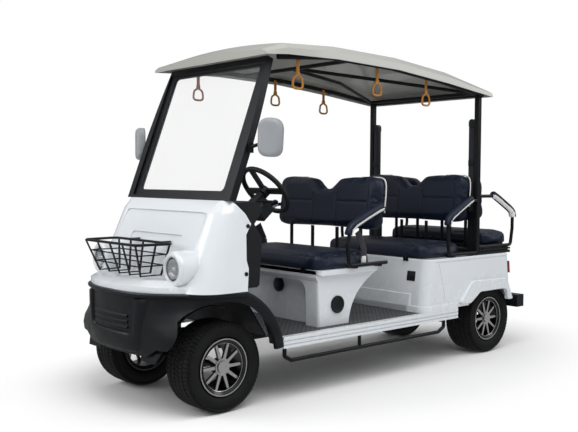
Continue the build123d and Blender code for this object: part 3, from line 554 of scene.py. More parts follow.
def drum(name, start, end, radius, sides, finish):
    deselect()
    run = Vector(end) - Vector(start)
    turn = run.to_track_quat("Z", "Y").to_euler()
    middle = (Vector(start) + Vector(end)) / 2
    bpy.ops.mesh.primitive_cylinder_add(vertices=sides, radius=radius, depth=run.length, location=middle,
                                        rotation=turn)
    piece = named(name, finish)
    bpy.ops.object.transform_apply(location=True, rotation=True, scale=True)
    return piece


def placed(piece, spots):
    for vertex, spot in zip(piece.data.vertices, spots):
        vertex.co = spot
    return piece


def outward():
    """Select all of the mesh that is being shaped and turn its faces out."""
    bpy.ops.mesh.select_all(action="SELECT")
    bpy.ops.mesh.normals_make_consistent(inside=False)


def modified(piece, kind, **settings):
    """Apply one modifier with its settings."""
    take(piece)
    change = piece.modifiers.new(kind.title(), kind)
    for name, value in settings.items():
        setattr(change, name, value)
    bpy.ops.object.modifier_apply(modifier=change.name)
    return piece


def lathe(name, profile, centre, axis, steps, finish):
    """A closed profile of (along, radius) pairs spun round an axis through centre."""
    deselect()
    axis = Vector(axis).normalized()
    out = axis.orthogonal().normalized()
    bpy.ops.mesh.primitive_circle_add(vertices=len(profile), radius=0.1, fill_type="NOTHING")
    piece = placed(named(name, finish), [Vector(centre) + axis * along + out * radius for along, radius in profile])
    with shaping(piece, "VERT"):
        bpy.ops.mesh.select_all(action="SELECT")
        bpy.ops.mesh.spin(steps=steps, angle=2 * math.pi, center=centre, axis=axis)
        bpy.ops.mesh.select_all(action="SELECT")
        bpy.ops.mesh.remove_doubles(threshold=0.00001)
        outward()
    return piece


def soften(piece, width):
    """Bevel the sharp edges of a small part."""
    modified(piece, "BEVEL", width=width, segments=2, limit_method="ANGLE", angle_limit=math.radians(35.0))
    return smooth(piece)


def smooth(piece, angle=38.0):
    take(piece)
    bpy.ops.object.shade_smooth_by_angle(angle=math.radians(angle))
    return piece


def keen(piece):
    """Smooth shading that follows the large faces, for carved mouldings."""
    return modified(smooth(piece, 26.0), "WEIGHTED_NORMAL", keep_sharp=True, weight=100)


def gather(pieces, name):
    deselect()
    for piece in pieces:
        piece.select_set(True)
    bpy.context.view_layer.objects.active = pieces[0]
    if len(pieces) > 1:
        bpy.ops.object.join()
    piece = bpy.context.active_object
    piece.name = name
    piece.data.name = name
    return piece


def tube_along(name, points, radius, finish):
    """A round cord along a smooth line through control points."""
    deselect()
    curve = bpy.data.curves.new(name, "CURVE")
    curve.dimensions = "3D"
    spline = curve.splines.new("NURBS")
    spline.points.add(len(points) - 1)
    for spot, place in zip(spline.points, points):
        spot.co = (*place, 1.0)
    spline.order_u = 3
    spline.use_endpoint_u = True
    spline.resolution_u = 6
    curve.bevel_depth = radius
    curve.bevel_resolution = 3
    curve.use_fill_caps = True
    made = bpy.data.objects.new(name, curve)
    bpy.context.scene.collection.objects.link(made)
    take(made)
    bpy.ops.object.convert(target="MESH")
    return smooth(named(name, finish))


def pick_edges(piece, test):
    mesh = bmesh.from_edit_mesh(piece.data)
    for edge in mesh.edges:
        start, end = (vertex.co for vertex in edge.verts)
        edge.select_set(bool(test((start + end) / 2, (end - start).normalized())))
    bmesh.update_edit_mesh(piece.data)


def round_edges(piece, width, segments, test):
    with shaping(piece, "EDGE"):
        pick_edges(piece, test)
        bpy.ops.mesh.bevel(offset=width, segments=segments, affect="EDGES", clamp_overlap=True)
    return piece


def rounded(points, radii, steps=6):
    """A closed outline of flat points with every corner rounded by its radius."""
    line = []
    count = len(points)
    for i, radius in enumerate(radii):
        before, corner, after = (Vector(points[(i + k) % count]) for k in (-1, 0, 1))
        if not radius:
            line.append(tuple(corner))
            continue
        back, ahead = before - corner, after - corner
        reach = radius / math.tan(back.angle(ahead) / 2)
        start = corner + back * min(0.49, reach / back.length)
        end = corner + ahead * min(0.49, reach / ahead.length)
        for k in range(steps + 1):
            t = k / steps
            line.append(tuple(start * (1 - t) ** 2 + corner * (2 * t * (1 - t)) + end * t * t))
    return line


def prism(name, outline, run, finish):
    """A closed outline of points, filled and drawn out along run."""
    deselect()
    bpy.ops.mesh.primitive_circle_add(vertices=len(outline), radius=0.1, fill_type="NGON")
    piece = placed(named(name, finish), outline)
    with shaping(piece):
        bpy.ops.mesh.select_all(action="SELECT")
        bpy.ops.mesh.extrude_region_move(TRANSFORM_OT_translate={"value": run})
        outward()
    return piece


def side_prism(name, outline, low_y, high_y, finish):
    return prism(name, [(x, low_y, z) for x, z in outline], (0, high_y - low_y, 0), finish)


def carve(piece, cutter):
    modified(piece, "BOOLEAN", operation="DIFFERENCE", solver="EXACT", object=cutter)
    bpy.data.objects.remove(cutter)
    return piece


def skin(name, rows, thick, finish):
    """A sheet through rows of points, given its thickness."""
    deselect()
    bpy.ops.mesh.primitive_grid_add(x_subdivisions=len(rows[0]) - 1, y_subdivisions=len(rows) - 1, size=1.0)
    piece = placed(named(name, finish), (spot for row in rows for spot in row))
    with shaping(piece):
        outward()
    return modified(piece, "SOLIDIFY", thickness=thick, offset=-1.0)


def node_copy(node, name, finish):
    """A merged copy of a node's solid, to be carved."""
    deselect()
    piece = bpy.data.objects.new(name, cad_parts[node].data.copy())
    bpy.context.scene.collection.objects.link(piece)
    with shaping(piece, "VERT"):
        bpy.ops.mesh.select_all(action="SELECT")
        bpy.ops.mesh.remove_doubles(threshold=0.00002)
        outward()
    return named(name, finish)


def hung(piece, body):
    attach(piece, body)


def worn_by(piece, *nodes, body="chassis", slot="white_body"):
    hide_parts(*nodes)
    hung(piece, body)


# Padded seats
CLOTH_FRAMES = 12


def swell(piece, held, pressure):
    """Let pressure fill a cover, limit how far it moves and bring it back to its box."""
    limit = sizes().swell
    before = [v.co.copy() for v in piece.data.vertices]
    pins = piece.vertex_groups.new(name="held")
    pins.add([v.index for v in piece.data.vertices if held(v.co)], 1.0, "REPLACE")
    cloth = piece.modifiers.new("Cloth", "CLOTH")
    cloth.settings.quality = 3
    cloth.settings.use_pressure = True
    cloth.settings.uniform_pressure_force = pressure
    cloth.settings.effector_weights.gravity = 0.0
    cloth.settings.vertex_group_mass = pins.name
    cloth.point_cache.frame_start = 1
    cloth.point_cache.frame_end = CLOTH_FRAMES
    for step in range(1, CLOTH_FRAMES + 1):
        bpy.context.scene.frame_set(step)
    bpy.ops.object.modifier_apply(modifier=cloth.name)
    bpy.context.scene.frame_set(1)
    for vertex, start in zip(piece.data.vertices, before):
        move = vertex.co - start
        if move.length > limit:
            vertex.co = start + move * (limit / move.length)
    for axis in range(3):
        old = [co[axis] for co in before]
        new = [v.co[axis] for v in piece.data.vertices]
        low, new_low = min(old), min(new)
        stretch = (max(old) - low) / (max(new) - new_low)
        for vertex in piece.data.vertices:
            vertex.co[axis] = low + (vertex.co[axis] - new_low) * stretch
    piece.vertex_groups.clear()


def fill(piece, rounding, held, pressure=4.0, voxel=None):
    """Remesh a cover, round its edges and fill it, with the points that pass held kept in place."""
    modified(piece, "REMESH", mode="VOXEL", voxel_size=voxel or sizes().voxel)
    modified(piece, "SMOOTH", factor=0.5, iterations=rounding)
    swell(piece, held, pressure)
    modified(piece, "SUBSURF", levels=1, render_levels=1)
    bpy.ops.object.shade_smooth()
    return piece


def sew(piece, lines, plane):
    """Press sewn lines into a filled cover. plane gives a point's two coordinates on the face, or None."""
    size = sizes()
    normals = [v.normal.copy() for v in piece.data.vertices]
    for vertex, normal in zip(piece.data.vertices, normals):
        spot = plane(vertex.co, normal)
        if spot is None:
            continue
        near = min(segment_distance(spot, line) for line in lines)
        if near < 3 * size.seam_width:
            vertex.co -= normal * size.seam_depth * math.exp(-((near / size.seam_width) ** 2))


def segment_distance(spot, line):
    (ax, ay), (bx, by) = line
    px, py = spot
    run = (bx - ax) ** 2 + (by - ay) ** 2
    share = max(0.0, min(1.0, ((px - ax) * (bx - ax) + (py - ay) * (by - ay)) / run))
    return math.hypot(px - ax - share * (bx - ax), py - ay - share * (by - ay))


CUSHIONS = {
    "front": dict(body="front_lid", x=(0.000, 0.461), z=(0.6655, 0.758)),
    "middle": dict(body="middle_lid", x=(-0.866, -0.450), z=(0.6745, 0.766)),
    "rear": dict(body="chassis", x=(-1.395, -1.108), z=(0.7353, 0.824)),
}
CUSHION_HALF_W = 0.430
BACK_LINES = {
    "front": dict(x=0.002, low=0.876, high=1.193, lean=6.0, way=1),
    "middle": dict(x=-0.826, low=0.897, high=1.211, lean=6.0, way=1),
    "rear": dict(x=-1.098, low=0.900, high=1.196, lean=4.0, way=-1),
}
BACK_THICK = 0.085
BACK_HALF_W = 0.447
BACK_TURNS = [0.062, 0.078, 0.062, 0.044]


def cushion_cover(row):
    seat = CUSHIONS[row]
    (rear, front), (low, high) = seat["x"], seat["z"]
    wide = CUSHION_HALF_W
    plan = rounded([(front, -wide), (front, wide), (rear, wide), (rear, -wide)], [0.062] * 4)
    piece = prism(f"{row}_bench_cushion", [(x, y, low) for x, y in plan], (0, 0, high - low), "vinyl")
    round_edges(piece, 0.030, 4, lambda spot, way: spot.z > high - 0.001)
    return round_edges(piece, 0.004, 2, lambda spot, way: spot.z < low + 0.001)


def back_cover(row):
    seat = BACK_LINES[row]
    height = seat["high"] - seat["low"]
    right = [(BACK_HALF_W, 0.0), (BACK_HALF_W, height), (0.120, height), (0.034, height - 0.062)]
    line = rounded(right + [(-y, z) for y, z in reversed(right)], BACK_TURNS + BACK_TURNS[::-1])
    lean = math.radians(seat["lean"])
    up = Vector((-seat["way"] * math.sin(lean), 0, math.cos(lean)))
    ahead = Vector((seat["way"] * math.cos(lean), 0, math.sin(lean)))
    foot = Vector((seat["x"], 0, seat["low"]))
    outline = [foot + Vector((0, y, 0)) + up * z - ahead * BACK_THICK for y, z in line]
    piece = prism(f"{row}_bench_back", outline, ahead * BACK_THICK, "vinyl")
    round_edges(piece, 0.026, 4, lambda spot, way: (spot - foot).dot(ahead) > -0.001)
    return round_edges(piece, 0.010, 2, lambda spot, way: (spot - foot).dot(ahead) < 0.001 - BACK_THICK)


class BUGGY_OT_cushions(bpy.types.Operator):
    """Fill the three bench cushions and sew their edge seams"""

    bl_idname = "buggy.cushions"
    bl_label = "Fill the cushions"

    def execute(self, context):
        for row, seat in CUSHIONS.items():
            low, high = seat["z"]
            piece = cushion_cover(row)
            fill(piece, 5, lambda co: co.z < low + 0.010)
            seam_z = low + 0.80 * (high - low)

            def boxing(co, normal):
                return (0.0, co.z) if abs(normal.z) < 0.75 else None

            sew(piece, [((-1.0, seam_z), (1.0, seam_z))], boxing)
            worn_by(piece, f"{row}_cushion", body=seat["body"], slot="seat_vinyl")
        return {"FINISHED"}


class BUGGY_OT_backs(bpy.types.Operator):
    """Fill the three seat backs and sew their panels"""

    bl_idname = "buggy.backs"
    bl_label = "Fill the seat backs"

    def execute(self, context):
        for row, seat in BACK_LINES.items():
            node = f"{row}_seat_back"
            low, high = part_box(node)
            piece = back_cover(row)
            fill(piece, 8, lambda co: False)
            panel_z = low[2] + 0.52 * (high[2] - low[2])
            edge = high[1] - 0.080
            lines = []
            for s in SIDES.values():
                lines.append(((s * 0.105, panel_z), (s * edge, panel_z)))
                lines.append(((s * 0.105, low[2] + 0.02), (s * 0.105, high[2] - 0.11)))
                lines.append(((s * edge, low[2] + 0.03), (s * edge, high[2] - 0.05)))

            def front(co, normal):
                return (co.y, co.z) if normal.x * seat["way"] > 0.55 else None

            sew(piece, lines, front)
            worn_by(piece, node, slot="seat_vinyl")
        return {"FINISHED"}


# Moulded body shells
def nose_half(inset, flare):
    """Half of the bumper's plan from the middle of the nose back along the left side."""
    spots = [(1.505 - inset, 0.0), (1.491 - inset, 0.180),
             (1.440 - inset + 0.3 * flare, 0.320 - 0.4 * inset + 0.4 * flare),
             (1.302 - 0.7 * inset + 0.95 * flare, 0.453 - 0.7 * inset + 1.00 * flare),
             (1.180 - 0.3 * inset + 0.25 * flare, 0.520 - inset + 0.55 * flare),
             (1.105, 0.541 - inset + 0.15 * flare), (1.030, 0.549 - inset)]
    line = []
    for start in (0, 2, 4):
        line += through(*spots[start:start + 3], 12)[(1 if start else 0):]
    return line


def through(first, middle, last, steps):
    """Points on the smooth curve that passes through three places."""
    curve = []
    for k in range(steps + 1):
        t = k / steps
        weights = ((1 - t) * (1 - 2 * t), 4 * t * (1 - t), t * (2 * t - 1))
        curve.append(tuple(sum(w * p[i] for w, p in zip(weights, (first, middle, last))) for i in (0, 1)))
    return curve


def nose_ring(z, inset, flare):
    half = nose_half(inset, flare)
    return [(x, -y, z) for x, y in reversed(half[1:])] + [(x, y, z) for x, y in half]


# Rows of the bumper from the top down, as (height, inset, flare)
LIP = [(0.6148, 0.014, 0.0), (0.613, 0.004, 0.0), (0.607, 0.0, 0.0), (0.600, 0.0, 0.0), (0.594, 0.004, 0.0),
       (0.591, 0.014, 0.0)]
SKIRT = [(0.590, 0.016, 0.0), (0.540, 0.016, 0.004), (0.505, 0.016, 0.016), (0.460, 0.017, 0.040),
         (0.420, 0.019, 0.060), (0.380, 0.022, 0.070), (0.345, 0.025, 0.070), (0.312, 0.031, 0.064),
         (0.300, 0.036, 0.058)]
SKIRT_TOP = 0.592
ARCH_CENTRE = (1.145, 0.250)
ARCH_R = 0.320
LINER_R = 0.285
# Sections as (share of the band, height above the skirt), (offset in z, the same) and (radius, y)
SURROUND = ((0.0, -0.002), (0.04, 0.007), (0.12, 0.012), (0.5, 0.014), (0.86, 0.012), (0.96, 0.007), (1.0, -0.002))
SLAT = ((-0.010, -0.002), (-0.005, 0.008), (0.0, 0.008), (0.009, -0.002))
SLAT_HEIGHTS = (0.436, 0.464, 0.492)
FENDER = ((0.324, 0.505), (0.326, 0.522), (0.334, 0.528), (0.366, 0.528), (0.378, 0.524), (0.384, 0.512),
          (0.384, 0.405))
LINER_EDGES = ((0.200, 4.0), (0.330, 4.0), (0.395, 36.0))


def on_skirt(y, z, raised):
    """The place on the front of the skirt at y and z, raised ahead of it."""
    inset = SKIRT[-1][1]
    for (high, high_inset, _), (low, low_inset, _) in zip(SKIRT, SKIRT[1:]):
        if low <= z <= high:
            inset = high_inset + (low_inset - high_inset) * (high - z) / (high - low)
            break
    half = nose_half(inset, 0.0)
    for (x0, y0), (x1, y1) in zip(half, half[1:]):
        if y0 <= abs(y) <= y1:
            return x0 + (x1 - x0) * (abs(y) - y0) / (y1 - y0) + raised, y, z
    raise ValueError(f"no nose at {y}")


def u_line(half_top, half_low, low, radius):
    corners = [(-half_top, SKIRT_TOP), (-half_low, low), (half_low, low), (half_top, SKIRT_TOP)]
    return rounded(corners, [0, radius, radius, 0], 8)


def along(line, share):
    """The point at a share of a line's length."""
    lengths = [math.hypot(b[0] - a[0], b[1] - a[1]) for a, b in zip(line, line[1:])]
    left = share * sum(lengths)
    for (a, b), length in zip(zip(line, line[1:]), lengths):
        if left <= length:
            return a[0] + (b[0] - a[0]) * left / length, a[1] + (b[1] - a[1]) * left / length
        left -= length
    return line[-1]


def arch_arc(radius, first, last, steps):
    """Points (x, z) round the front arch between two angles in degrees."""
    cx, cz = ARCH_CENTRE
    turns = [math.radians(first + (last - first) * k / steps) for k in range(steps + 1)]
    return [(cx + radius * math.cos(a), cz + radius * math.sin(a)) for a in turns]


def bumper_skirt():
    body = skin("bumper_skirt", [nose_ring(*row) for row in LIP + SKIRT], 0.006, "plastic")
    cx, cz = ARCH_CENTRE
    front = cx + 0.275
    arch = arch_arc(ARCH_R, 47.3, 180.0, 24) + [(cx - ARCH_R, 0.100), (front, 0.100), (front, 0.330)]
    carve(body, side_prism("arch_cutter", arch, -0.75, 0.75, "plastic"))
    hem = [(0.70, 0.10), (0.70, 0.350), (0.345, 0.343), (0.262, 0.296)]
    hem += [(-y, z) for y, z in reversed(hem)]
    carve(body, prism("hem_cutter", [(1.10, y, z) for y, z in hem], (0.6, 0, 0), "plastic"))
    return smooth(body, 32.0)


def bumper_surround():
    outer, inner = u_line(0.288, 0.238, 0.312, 0.062), u_line(0.205, 0.190, 0.410, 0.034)
    steps = 60
    rows = []
    for share, raised in SURROUND:
        row = []
        for k in range(steps + 1):
            (ya, za), (yb, zb) = along(outer, k / steps), along(inner, k / steps)
            row.append(on_skirt(ya + (yb - ya) * share, za + (zb - za) * share, raised))
        rows.append(row)
    return smooth(skin("bumper_surround", rows, 0.003, "plastic"), 50.0)


def bumper_slat(middle):
    across = [-0.160 + 0.320 * k / 16 for k in range(17)]
    rows = [[on_skirt(y, middle + offset, raised) for y in across] for offset, raised in SLAT]
    return smooth(skin(f"bumper_slat_{middle}", rows, 0.003, "plastic"), 30.0)


def arch_sheet(name, side, arcs, thick):
    """A sheet through arcs of (y, points) on one side."""
    rows = [[(x, side * y, z) for x, z in arc] for y, arc in arcs]
    return smooth(skin(name, rows, thick, "plastic"), 45.0)


class BUGGY_OT_bumper(bpy.types.Operator):
    """Mould the front bumper with its rolled lip, raised surround, slats, fenders and arch liners"""

    bl_idname = "buggy.bumper"
    bl_label = "Mould the bumper"

    def execute(self, context):
        made = [bumper_skirt(), bumper_surround()] + [bumper_slat(z) for z in SLAT_HEIGHTS]
        for side, s in SIDES.items():
            arcs = [(y, arch_arc(radius, 106.0, 172.0, 20)) for radius, y in FENDER]
            made.append(arch_sheet(f"fender_{side}", s, arcs, 0.005))
        for side, s in SIDES.items():
            arcs = [(y, arch_arc(LINER_R, first, 112.0, 24)) for y, first in LINER_EDGES]
            made.append(arch_sheet(f"liner_{side}", s, arcs, 0.004))
        worn_by(gather(made, "front_bumper_moulding"), "front_bumper", slot="black_plastic")
        return {"FINISHED"}


BODY_OUTLINE = [(-0.400, 0.345), (-0.441, 0.645), (-0.441, 0.673), (-1.315, 0.673), (-1.350, 0.352),
                (-0.735, 0.352), (-0.735, 0.345)]
BODY_HALF_W = 0.490


def body_block(name, outline, half_w, front_turn, rear_turn):
    """A block with its upright corners rounded at the front and the rear."""
    piece = side_prism(name, outline, -half_w, half_w, "body")
    front = max(x for x, z in outline)

    def upright(spot, way):
        return abs(abs(spot.y) - half_w) < 0.001 and abs(way.z) > 0.9

    round_edges(piece, front_turn, 7, lambda spot, way: upright(spot, way) and spot.x > front - 0.062)
    return round_edges(piece, rear_turn, 5, lambda spot, way: upright(spot, way) and spot.x < -1.300)


class BUGGY_OT_rear_shell(bpy.types.Operator):
    """Mould the rear body with round corners, a stepped plinth, arches and flares"""

    bl_idname = "buggy.rear_shell"
    bl_label = "Mould the rear body"

    def execute(self, context):
        shell = body_block("rear_shell", BODY_OUTLINE, BODY_HALF_W, 0.062, 0.040)
        round_edges(shell, 0.012, 3, lambda spot, way: spot.z > 0.6725)
        hollow = [(-0.409, 0.300), (-0.453, 0.665), (-1.308, 0.665), (-1.341, 0.300)]
        carve(shell, body_block("hollow_cutter", hollow, BODY_HALF_W - 0.008, 0.054, 0.032))
        for side, s in SIDES.items():
            groove = [(-1.300, 0.6495), (-0.520, 0.6495), (-0.520, 0.6550), (-1.300, 0.6550)]
            carve(shell, side_prism(f"groove_{side}", groove, s * 0.4865, s * 0.500, "body"))
            crease = [(-0.545, 0.640), (-0.551, 0.640), (-0.618, 0.400), (-0.612, 0.400)]
            carve(shell, side_prism(f"crease_{side}", crease, s * 0.4870, s * 0.500, "body"))
        arch = [(-0.862, 0.300), (-0.862, 0.366), (-0.967, 0.432), (-1.269, 0.432), (-1.290, 0.352), (-1.290, 0.300)]
        arch = rounded(arch, [0, 0.03, 0.05, 0.05, 0.02, 0], 5)
        carve(shell, side_prism("arch_cutter", arch, -0.60, 0.60, "body"))
        well = [(-0.850, 0.600), (-0.480, 0.600), (-0.480, 0.700), (-0.850, 0.700)]
        carve(shell, side_prism("well_cutter", well, -0.370, 0.370, "body"))
        made = [keen(shell)]
        for top, half_w in ((0.384, 0.499), (0.455, 0.390)):
            front = [(-0.391, 0.345), (-0.391 - 0.041 * (top - 0.345) / 0.300, top)]
            plinth = side_prism(f"plinth_{top}", [(-0.735, 0.345), *front, (-0.735, top)], -half_w, half_w, "body")
            turn = 0.070 if half_w > 0.45 else 0.030
            round_edges(plinth, turn, 6, lambda spot, way: spot.x > -0.44 and abs(way.z) > 0.9)
            round_edges(plinth, 0.006, 3, lambda spot, way: spot.z > top - 0.001)
            made.append(keen(plinth))
        flare = [(-0.740, 0.372), (-0.877, 0.513), (-1.266, 0.505), (-1.345, 0.352), (-1.290, 0.352), (-1.269, 0.432),
                 (-0.967, 0.432), (-0.862, 0.366)]
        line = rounded(flare, [0.02, 0.07, 0.06, 0.012, 0.012, 0.05, 0.05, 0.03], 6)
        for side, s in SIDES.items():
            lip = side_prism(f"flare_{side}", line, s * 0.488, s * 0.512, "body")
            round_edges(lip, 0.009, 4, lambda spot, way: abs(spot.y) > 0.511)
            made.append(keen(lip))
        worn_by(gather(made, "rear_body_moulding"), "rear_body")
        return {"FINISHED"}


class BUGGY_OT_seat_base(bpy.types.Operator):
    """Mould the front seat base with its rolled flange and rounded alcove"""

    bl_idname = "buggy.seat_base"
    bl_label = "Mould the seat base"

    def execute(self, context):
        curve = through((-0.040, 0.625), (0.118, 0.505), (0.180, 0.345), 14)
        outline = [(0.420, 0.345), (0.424, 0.600), (0.440, 0.622), (0.440, 0.665), (-0.040, 0.665)] + curve
        base = side_prism("seat_base", outline, -BASE_SIDE_Y, BASE_SIDE_Y, "body")
        round_edges(base, 0.034, 6, lambda spot, way: abs(spot.y) > BASE_SIDE_Y - 0.001 and spot.x > 0.415
                    and spot.z < 0.62 and abs(way.z) > 0.9)
        plan = rounded([(0.440, -0.448), (0.440, 0.448), (-0.040, 0.448), (-0.040, -0.448)], [0.034] * 4)
        flange = prism("seat_flange", [(x, y, 0.630) for x, y in plan], (0, 0, 0.035), "body")
        round_edges(flange, 0.010, 4, lambda spot, way: spot.z < 0.631)
        round_edges(flange, 0.005, 2, lambda spot, way: spot.z > 0.664)
        alcove = rounded([(0.300, 0.340), (0.300, 0.590), (-0.300, 0.590), (-0.300, 0.340)], [0, 0.070, 0.070, 0], 8)
        carve(base, prism("alcove_cutter", [(0.366, y, z) for y, z in alcove], (0.080, 0, 0), "body"))
        round_edges(base, 0.012, 4, lambda spot, way: spot.x > 0.415 and abs(spot.y) < 0.3005
                    and 0.346 <= spot.z < 0.5905)
        inner = through((-0.020, 0.636), (0.132, 0.511), (0.190, 0.340), 14)
        hollow = [(0.357, 0.340), (0.357, 0.700), (-0.020, 0.700)] + inner
        inside = BASE_SIDE_Y - 0.008
        for part in (base, flange):
            carve(part, side_prism("hollow_cutter", hollow, -inside, inside, "body"))
        worn_by(gather([keen(base), keen(flange)], "front_seat_base_moulding"), "front_seat_base")
        return {"FINISHED"}


COWL_SUNK = 0.0062


def cowl_face(z, sunk):
    """The place on the middle of the cowl's sloping face, sunk behind it."""
    return Vector((1.322 - 0.163 * (z - 0.615) / 0.386 - sunk, 0, z))


class BUGGY_OT_cowl(bpy.types.Operator):
    """Press the faded pocket and the long recess into a copy of the front cowl"""

    bl_idname = "buggy.cowl"
    bl_label = "Press the cowl"

    def execute(self, context):
        cowl = node_copy("front_cowl", "front_cowl_moulding", "body")
        low, high = cowl_face(0.832, -0.0004), cowl_face(1.000, COWL_SUNK)
        slope = high - low
        tall, up = slope.length, slope.normalized()
        run = Vector((slope.z, 0, -slope.x)).normalized() * 0.05
        pocket = rounded([(0.382, 0.0), (0.382, tall), (-0.382, tall), (-0.382, 0.0)], [0, 0.045, 0.045, 0], 8)
        recess = rounded([(0.243, -0.037), (0.243, 0.037), (-0.243, 0.037), (-0.243, -0.037)], [0.024] * 4, 6)
        for start, line in ((low, pocket), (cowl_face(0.848, COWL_SUNK), recess)):
            spots = [start + Vector((0, y, 0)) + up * h for y, h in line]
            carve(cowl, prism("pocket_cutter", spots, run, "body"))
        keen(cowl)
        worn_by(cowl, "front_cowl")
        return {"FINISHED"}


SCREEN_FOOT = Vector((1.075, 0.0, 1.066))
SCREEN_RAKE = math.radians(20.55)
PILLAR_EDGE = [(0.30, 0.4850), (0.42, 0.4800), (0.54, 0.4705), (0.66, 0.4575), (0.78, 0.4410), (0.86, 0.4290)]


class BUGGY_OT_screen(bpy.types.Operator):
    """Draw the windscreen pillars in towards the roof"""

    bl_idname = "buggy.screen"
    bl_label = "Trim the windscreen"

    def execute(self, context):
        up = Vector((-math.sin(SCREEN_RAKE), 0, math.cos(SCREEN_RAKE)))
        out = Vector((math.cos(SCREEN_RAKE), 0, math.sin(SCREEN_RAKE)))
        trimmed = node_copy("windscreen_frame", "windscreen_frame_trimmed", "plastic")
        for s in SIDES.values():
            edge = [(v, s * y) for v, y in PILLAR_EDGE + [(0.86, 0.56), (0.30, 0.56)]]
            outline = [SCREEN_FOOT + up * v + Vector((0, y, 0)) - out * 0.15 for v, y in edge]
            carve(trimmed, prism("trim_cutter", outline, out * 0.30, "plastic"))
        worn_by(keen(trimmed), "windscreen_frame", slot="black_plastic")
        return {"FINISHED"}


class BUGGY_OT_mirrors(bpy.types.Operator):
    """Shape the mirror shells and set their glass"""

    bl_idname = "buggy.mirrors"
    bl_label = "Shape the mirrors"

    def execute(self, context):
        shells, panes = [], []
        for side, s in SIDES.items():
            out = Vector((-math.sin(MIRROR_TURN), s * math.cos(MIRROR_TURN), 0))
            ahead = Vector((math.cos(MIRROR_TURN), s * math.sin(MIRROR_TURN), 0))
            centre = Vector((MIRROR[0], s * MIRROR[1], MIRROR[2]))
            line = rounded([(-0.064, -0.094), (0.060, -0.098), (0.069, 0.094), (-0.060, 0.098)],
                           [0.055, 0.050, 0.064, 0.058], 8)
            outline = [centre + out * a + Vector((0, 0, b)) - ahead * 0.027 for a, b in line]
            shell = prism(f"shell_{side}", outline, ahead * 0.054, "shell")
            round_edges(shell, 0.024, 6, lambda spot, way: (spot - centre).dot(ahead) > 0.026)
            round_edges(shell, 0.007, 3, lambda spot, way: (spot - centre).dot(ahead) < -0.0265)
            shells.append(smooth(shell, 40.0))
            glass = [centre + (spot - centre) * 0.86 - ahead * 0.0045 for spot in outline]
            panes.append(soften(prism(f"pane_{side}", glass, ahead * 0.004, "chrome"), 0.0008))
        worn_by(gather(shells, "mirror_shell_mouldings"), "mirror_shells", slot="grey_shell")
        hung(gather(panes, "mirror_glass"), "chassis")
        return {"FINISHED"}


STRAPS = ((0.623, 1.800), (0.003, 1.808), (-0.440, 1.778))
STRAP_Y = 0.4537


class BUGGY_OT_handles(bpy.types.Operator):
    """Hang the rounded handles on their straps"""

    bl_idname = "buggy.handles"
    bl_label = "Hang the handles"

    def execute(self, context):
        made = []
        loop = rounded([(0.0, 0.040), (-0.030, 0.022), (-0.040, -0.034), (0.040, -0.034), (0.030, 0.022)],
                       [0.020, 0.022, 0.026, 0.026, 0.022], 5)
        loop += loop[:2]
        for x, rail_z in STRAPS:
            ring_z = rail_z - 0.118
            for side, s in SIDES.items():
                y = s * STRAP_Y
                made.append(tube_along(f"ring_{x}_{side}", [(x + a, y, ring_z + b) for a, b in loop], 0.0064, "handle"))
                for low, high, wide, thick in ((ring_z + 0.032, rail_z + 0.012, 0.022, 0.004),
                                               (ring_z + 0.034, ring_z + 0.056, 0.027, 0.010)):
                    made.append(band(f"strap_{x}_{side}", (x, y, low), (x, y, high), (1, 0, 0), wide, thick, "handle"))
        worn_by(gather(made, "strap_handle_loops"), "strap_handles", slot="amber")
        return {"FINISHED"}


# Tyres
TYRE_SIDE = [(-0.070, 0.1293), (-0.071, 0.1475), (-0.088, 0.1555), (-0.0965, 0.168), (-0.0995, 0.184), (-0.098, 0.199),
             (-0.0945, 0.2095)]
TREAD_ROWS = [-0.0900, -0.0800, -0.0540, -0.0480, -0.0190, -0.0145, 0.0145, 0.0190, 0.0480, 0.0540, 0.0800, 0.0900]


class BUGGY_OT_tyres(bpy.types.Operator):
    """Lathe the four tyres and raise their tread blocks"""

    bl_idname = "buggy.tyres"
    bl_label = "Make the tyres"

    def execute(self, context):
        size = sizes()
        floor_r = HUB_Z - size.tread_depth
        crown = [(t, floor_r - 0.0006 - 0.0045 * max(0.0, (abs(t) - 0.05) / 0.04) ** 2) for t in TREAD_ROWS]
        profile = TYRE_SIDE + crown + [(-t, r) for t, r in reversed(TYRE_SIDE)]
        pitch = 2 * math.pi / size.pitches
        for axle, axle_x in AXLE_X.items():
            for side, s in SIDES.items():
                centre = Vector((axle_x, s * WHEEL_Y, HUB_Z))
                piece = lathe(f"road_tyre_{axle}_{side}", profile, centre, (0, 1, 0), size.pitches, "tyre")
                for vertex in piece.data.vertices:
                    spot = vertex.co - centre
                    radius = math.hypot(spot.x, spot.z)
                    if radius > floor_r - 0.012 and abs(spot.y) < 0.0535:
                        lean = pitch * (0.42 if abs(spot.y) > 0.03 else 0.42 * spot.y / 0.019)
                        vertex.co = centre + Matrix.Rotation(lean, 3, "Y") @ spot
                with shaping(piece):
                    def is_block(spot, normal):
                        away = spot - centre
                        across = abs(away.y)
                        if math.hypot(away.x, away.z) < 0.2080:
                            return False
                        return across < 0.0140 or 0.0200 < across < 0.0470 or across > 0.0545

                    pick_faces(piece, is_block)
                    bpy.ops.mesh.inset(thickness=size.tread_gap, depth=size.tread_depth, use_individual=True)
                smooth(piece, 30.0)
                worn_by(piece, f"tyre_{axle}_{side}", body=f"wheel_{axle}_{side}", slot="tyre")
        return {"FINISHED"}


# Lamps, with profiles as (along, share of the lamp's radius)
BOWL = [(0.001, 0.19), (0.002, 0.58), (0.008, 0.85), (0.016, 0.97), (0.018, 1.12), (0.0135, 1.13), (-0.0004, 1.13),
        (-0.0004, 0.08)]
DOME = [(0.0185, 0.0), (0.0185, 0.38), (0.0165, 0.69), (0.0125, 0.95), (0.0105, 0.95), (0.0145, 0.69), (0.0165, 0.38),
        (0.0165, 0.0)]


